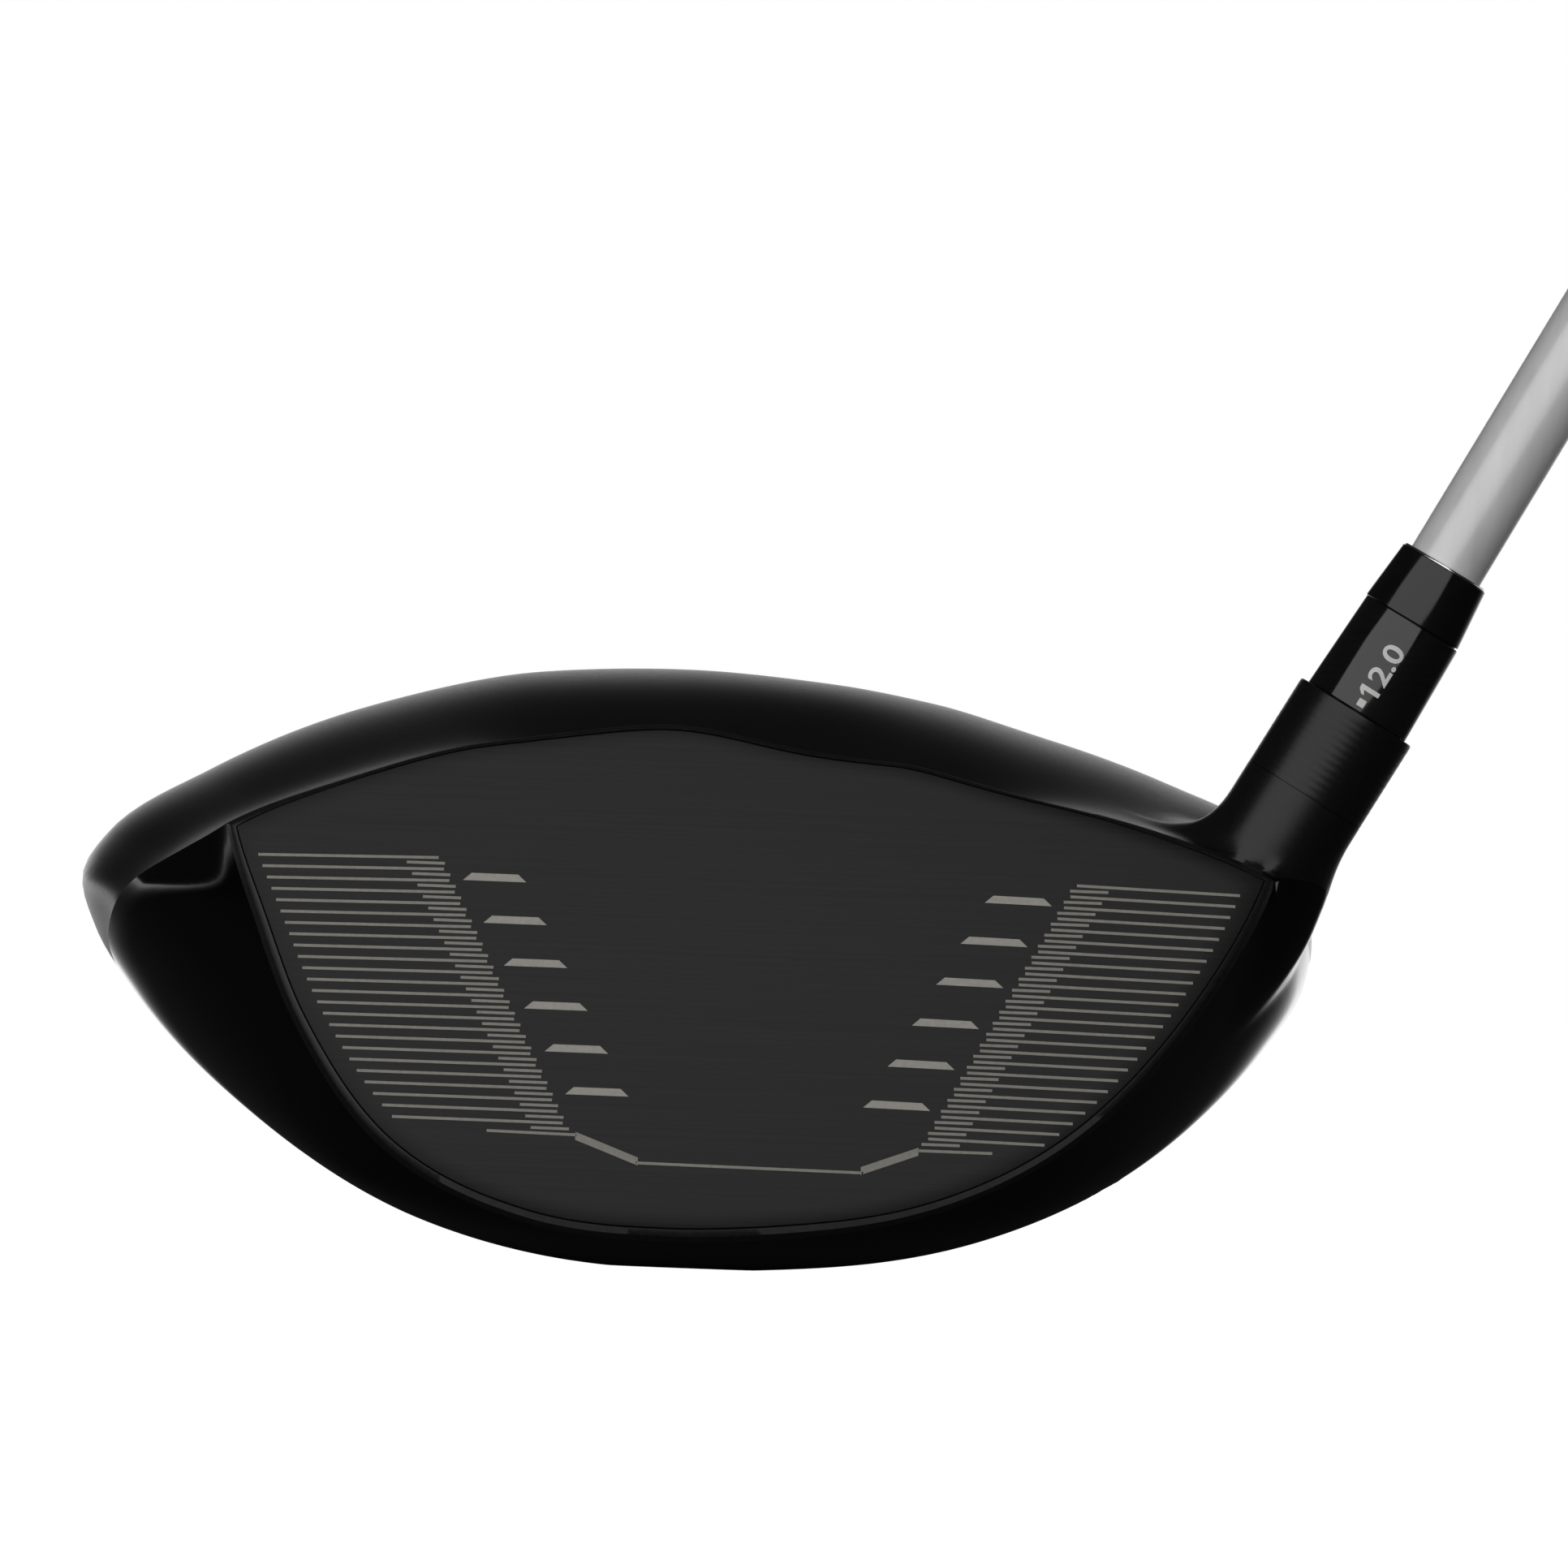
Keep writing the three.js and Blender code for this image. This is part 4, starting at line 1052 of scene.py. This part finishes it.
def dial_numbers():
    """The loft setting, read up the sleeve, and the square that it is lined up with."""
    curve = bpy.data.curves.new("dial", "FONT")
    curve.body = "12.0"
    curve.resolution_u = 6
    curve.offset = DIAL_BOLD
    text = bpy.data.objects.new("dial", curve)
    scene.collection.objects.link(text)
    bpy.context.view_layer.update()
    filled = bpy.data.meshes.new_from_object(text.evaluated_get(bpy.context.evaluated_depsgraph_get()))
    made = bmesh.new()
    made.from_mesh(filled)
    bpy.data.objects.remove(text)
    bpy.data.curves.remove(curve)
    bpy.data.meshes.remove(filled)
    bmesh.ops.remove_doubles(made, verts=made.verts, dist=1e-5)
    at = np.array([vert.co for vert in made.verts])
    low, high = at.min(0), at.max(0)
    for vert in made.verts:
        share = (np.array(vert.co) - low)[:2] / (high - low)[:2]
        vert.co = (DIAL_MIDDLE + (share[0] - 0.5) * DIAL_LENGTH, (share[1] - 0.5) * DIAL_HEIGHT, 0)
    start, top = DIAL_MIDDLE - DIAL_LENGTH / 2, DIAL_HEIGHT / 2
    made.faces.new([made.verts.new((x, y, 0)) for x, y in (
        (start - FLAG, top - 1.0 * FLAG), (start - FLAG, top - 1.7 * FLAG), (start, top - 1.1 * FLAG),
        (start, top - 0.01),
    )])
    bmesh.ops.create_grid(made, x_segments=4, y_segments=4, size=MARK / 2,
                          matrix=Matrix.Translation((MARK_AT, 0.1, 0)))
    for y in np.arange(-DIAL_HEIGHT / 2 + LETTER_SLICE, DIAL_HEIGHT / 2, LETTER_SLICE):
        bmesh.ops.bisect_plane(made, geom=made.verts[:] + made.edges[:] + made.faces[:], plane_co=(0, y, 0),
                               plane_no=(0, 1, 0))
    points, faces = patch_of(made.faces)
    made.free()

    def wrapped(lift):
        radius = sleeve_radius(points[:, 0]) + lift
        turn = points[:, 1] / sleeve_radius(points[:, 0])
        return np.stack([-radius * np.sin(turn), -radius * np.cos(turn), points[:, 0]], -1)

    count = len(points)
    rims = [(b, a, count + a, count + b) for a, b in border_of(faces)]
    under = [[count + i for i in reversed(face)] for face in faces]
    return on_hosel((np.vstack([wrapped(DIAL_PROUD), wrapped(-DIAL_SUNK)]), [*faces, *under, *rims]))


piece("dial_numbers", *dial_numbers(), WHITE, "shaft_assembly", None, ["hosel_sleeve"])

FERRULE_LOW, FERRULE_HIGH = SLEEVE_TOP - CROSSING, FERRULE_TOP - CROSSING
BUTT_S = CLUB_LENGTH - SHAFT_ORIGIN[2] / math.sin(SHAFT_LIE)


def shaft_radius(along):
    return blend(TIP_R, BUTT_R, np.clip((along - TAPER_START) / (BUTT_S - TAPER_START), 0, 1))


def ferrule():
    outline = eased([
        [TIP_R + 0.02, FERRULE_LOW - 0.1], [SLEEVE_TOP_R - 0.3, FERRULE_LOW - 0.1],
        [SLEEVE_TOP_R - 0.3, FERRULE_LOW + 0.05], [SLEEVE_TOP_R - 0.08, FERRULE_LOW + 0.05],
        [SLEEVE_TOP_R, FERRULE_LOW + 0.13], [blend(SLEEVE_TOP_R, FERRULE_TOP_R, 0.97), FERRULE_HIGH - 0.5],
        [FERRULE_TOP_R, FERRULE_HIGH - 0.3], [TIP_R + 0.02, FERRULE_HIGH - 0.3],
    ], 0.08)
    return on_shaft(turned(outline))


# The ferrule's top chamfer as a thin ring in bright chrome: painted highlight of the light that edge catches.
def highlight_ring():
    outline = eased([
        [TIP_R + 0.01, FERRULE_HIGH - 0.29], [FERRULE_TOP_R - 0.12, FERRULE_HIGH - 0.29],
        [FERRULE_TOP_R - 0.2, FERRULE_HIGH - 0.05], [TIP_R + 0.01, FERRULE_HIGH],
    ], 0.06)
    return on_shaft(turned(outline))


piece("ferrule_skin", *ferrule(), FERRULE, "shaft_assembly", "ferrule_black", ["ferrule"])
piece("ferrule_highlight_ring", *highlight_ring(), EDGE_HIGHLIGHT, "shaft_assembly", "bright_steel", ["ferrule"])


def shaft():
    stations = np.concatenate([[-TIP_DEPTH + CROSSING], np.linspace(TAPER_START, BUTT_S, 40)])
    outer = [[float(shaft_radius(s)), s] for s in stations]
    inner = [[float(shaft_radius(s)) - SHAFT_WALL, s] for s in stations[::-1]]
    return on_shaft(turned([*outer, *inner], 64))


piece("shaft_tube", *shaft(), SHAFT, "shaft_assembly", "shaft_silver", ["shaft"])

# ---------------------------------------------------------------- grip

GRIP_START = BUTT_S - GRIP_LENGTH
MOUTH_LENGTH, MOUTH_DROP = 3, 1.6
PLAIN_LOW, PLAIN_HIGH = 14, 12  # how much of each end has no grooves
SPIRALS, SPIRAL_STEP, GROOVE_DEPTH, GROOVE_HALF = 12, 9, 0.28, 0.13
# Plain rings on the grip, and the line along each side of a ring.
RINGS_AT, RING_HALF, LINE_AT, LINE_HALF, LINE_DEPTH = (95, 175), 4, 3, 0.9, 0.3


def grip():
    """A rubber sleeve with two crossing spirals of fine grooves, plain at its mouth and in three bands."""
    stations = np.arange(0, GRIP_LENGTH + 0.01, 1.0)
    share = stations / GRIP_LENGTH
    outer = blend(GRIP_MOUTH_R, GRIP_BUTT_R, 0.7 * share + 0.3 * share**6)
    mouth = np.clip(stations / MOUTH_LENGTH, 0, 1)
    outer = outer - MOUTH_DROP * (1 - np.sqrt(1 - (1 - mouth) ** 2))
    outline = [[r, GRIP_START + s] for r, s in zip(outer, stations)]
    bore = [[float(shaft_radius(s)) + 2 * GAP + TAPE_H, s] for s in (GRIP_START + GRIP_LENGTH, GRIP_START)]

    def grooves(radii, z, angles):
        s = z - GRIP_START
        from_ring = np.min([np.abs(s - at) for at in RINGS_AT], 0)
        turns = SPIRALS * angles / (2 * math.pi)
        waves = [np.mod(turns + way * s / SPIRAL_STEP, 1) - 0.5 for way in (1, -1)]
        depth = GROOVE_DEPTH * np.clip(1 - np.min(np.abs(waves), 0) / GROOVE_HALF, 0, 1)
        lines = LINE_DEPTH * np.clip(1 - np.abs(from_ring - LINE_AT) / LINE_HALF, 0, 1)
        plain = (s < PLAIN_LOW) | (s > GRIP_LENGTH - PLAIN_HIGH) | (from_ring < RING_HALF)
        depth = np.where(plain, lines, depth)
        return np.where(radii > GRIP_MOUTH_R - MOUTH_DROP - 0.1, radii - depth, radii)

    return on_shaft(turned([*outline, *bore], 144, grooves))


def grip_cap():
    low = BUTT_S + 0.02
    top = low + CAP_H + GAP - 0.03
    outline = eased([
        [VENT_R, low], [GRIP_BUTT_R, low], [GRIP_BUTT_R, low + 1.6], [GRIP_BUTT_R - 0.9, low + 3.0],
        [GRIP_BUTT_R - 3.0, top], [8.2, top], [8.0, low + CAP_H], [7.4, low + CAP_H], [7.2, top],
        [VENT_R, top],
    ], 0.5)
    return on_shaft(turned(outline))


piece("grip_sleeve", *grip(), RUBBER, "shaft_assembly", "grip_rubber", ["grip"])
piece("grip_end", *grip_cap(), RUBBER, "shaft_assembly", "cap_rubber", ["grip_cap"])

# ---------------------------------------------------------------- seat of the weight

POCKET_R, POCKET_FOOT, POCKET_TOP, FLOOR_H = WEIGHT_R + GAP + 0.02, -3, WEIGHT_H + GAP, 1.2


def weight_boss():
    """The pocket's wall and floor and the tube round the threaded insert, down to the inside of the sole."""
    low, top = POCKET_FOOT, POCKET_TOP + INSERT_H
    outline = [
        [POCKET_R, low], [POCKET_R, POCKET_TOP], [INSERT_R + 0.02, POCKET_TOP], [INSERT_R + 0.02, top],
        [INSERT_R + BOSS_WALL, top], [INSERT_R + BOSS_WALL, POCKET_TOP + FLOOR_H],
        [POCKET_R + BOSS_WALL, POCKET_TOP + FLOOR_H], [POCKET_R + BOSS_WALL, low],
    ]
    points, faces = on_weight(turned(outline))
    axis = Vector(WEIGHT_TURN[:, 2])
    depth = ((points - WEIGHT_AT) @ WEIGHT_TURN)[:, 2]
    for i in np.nonzero(depth < low + 1)[0]:
        hit = head_tree.ray_cast(Vector(points[i]) + axis * (POCKET_TOP - low), -axis)[0]
        points[i] = np.array(hit + axis * SHELL / 2)
    return points, faces


piece("weight_pocket", *weight_boss(), GLOSS, BODY, "gloss_black", ["sole_shell"])

# ---------------------------------------------------------------- finish of the CAD pieces that stay

for node, material in {
    "thread_insert": MACHINED, "sole_weight": WEIGHT_STEEL, "weight_washer": MACHINED,
    "weight_screw": DARK_STEEL, "hot_melt": GLUE, "hosel_screw": DARK_STEEL, "screw_washer": MACHINED,
    "screw_retainer": NYLON, "cog_ring": ALUMINIUM, "tip_weight": BRASS, "grip_tape": TAPE,
}.items():
    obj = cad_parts[node]
    for material_slot in obj.material_slots:
        material_slot.material = material
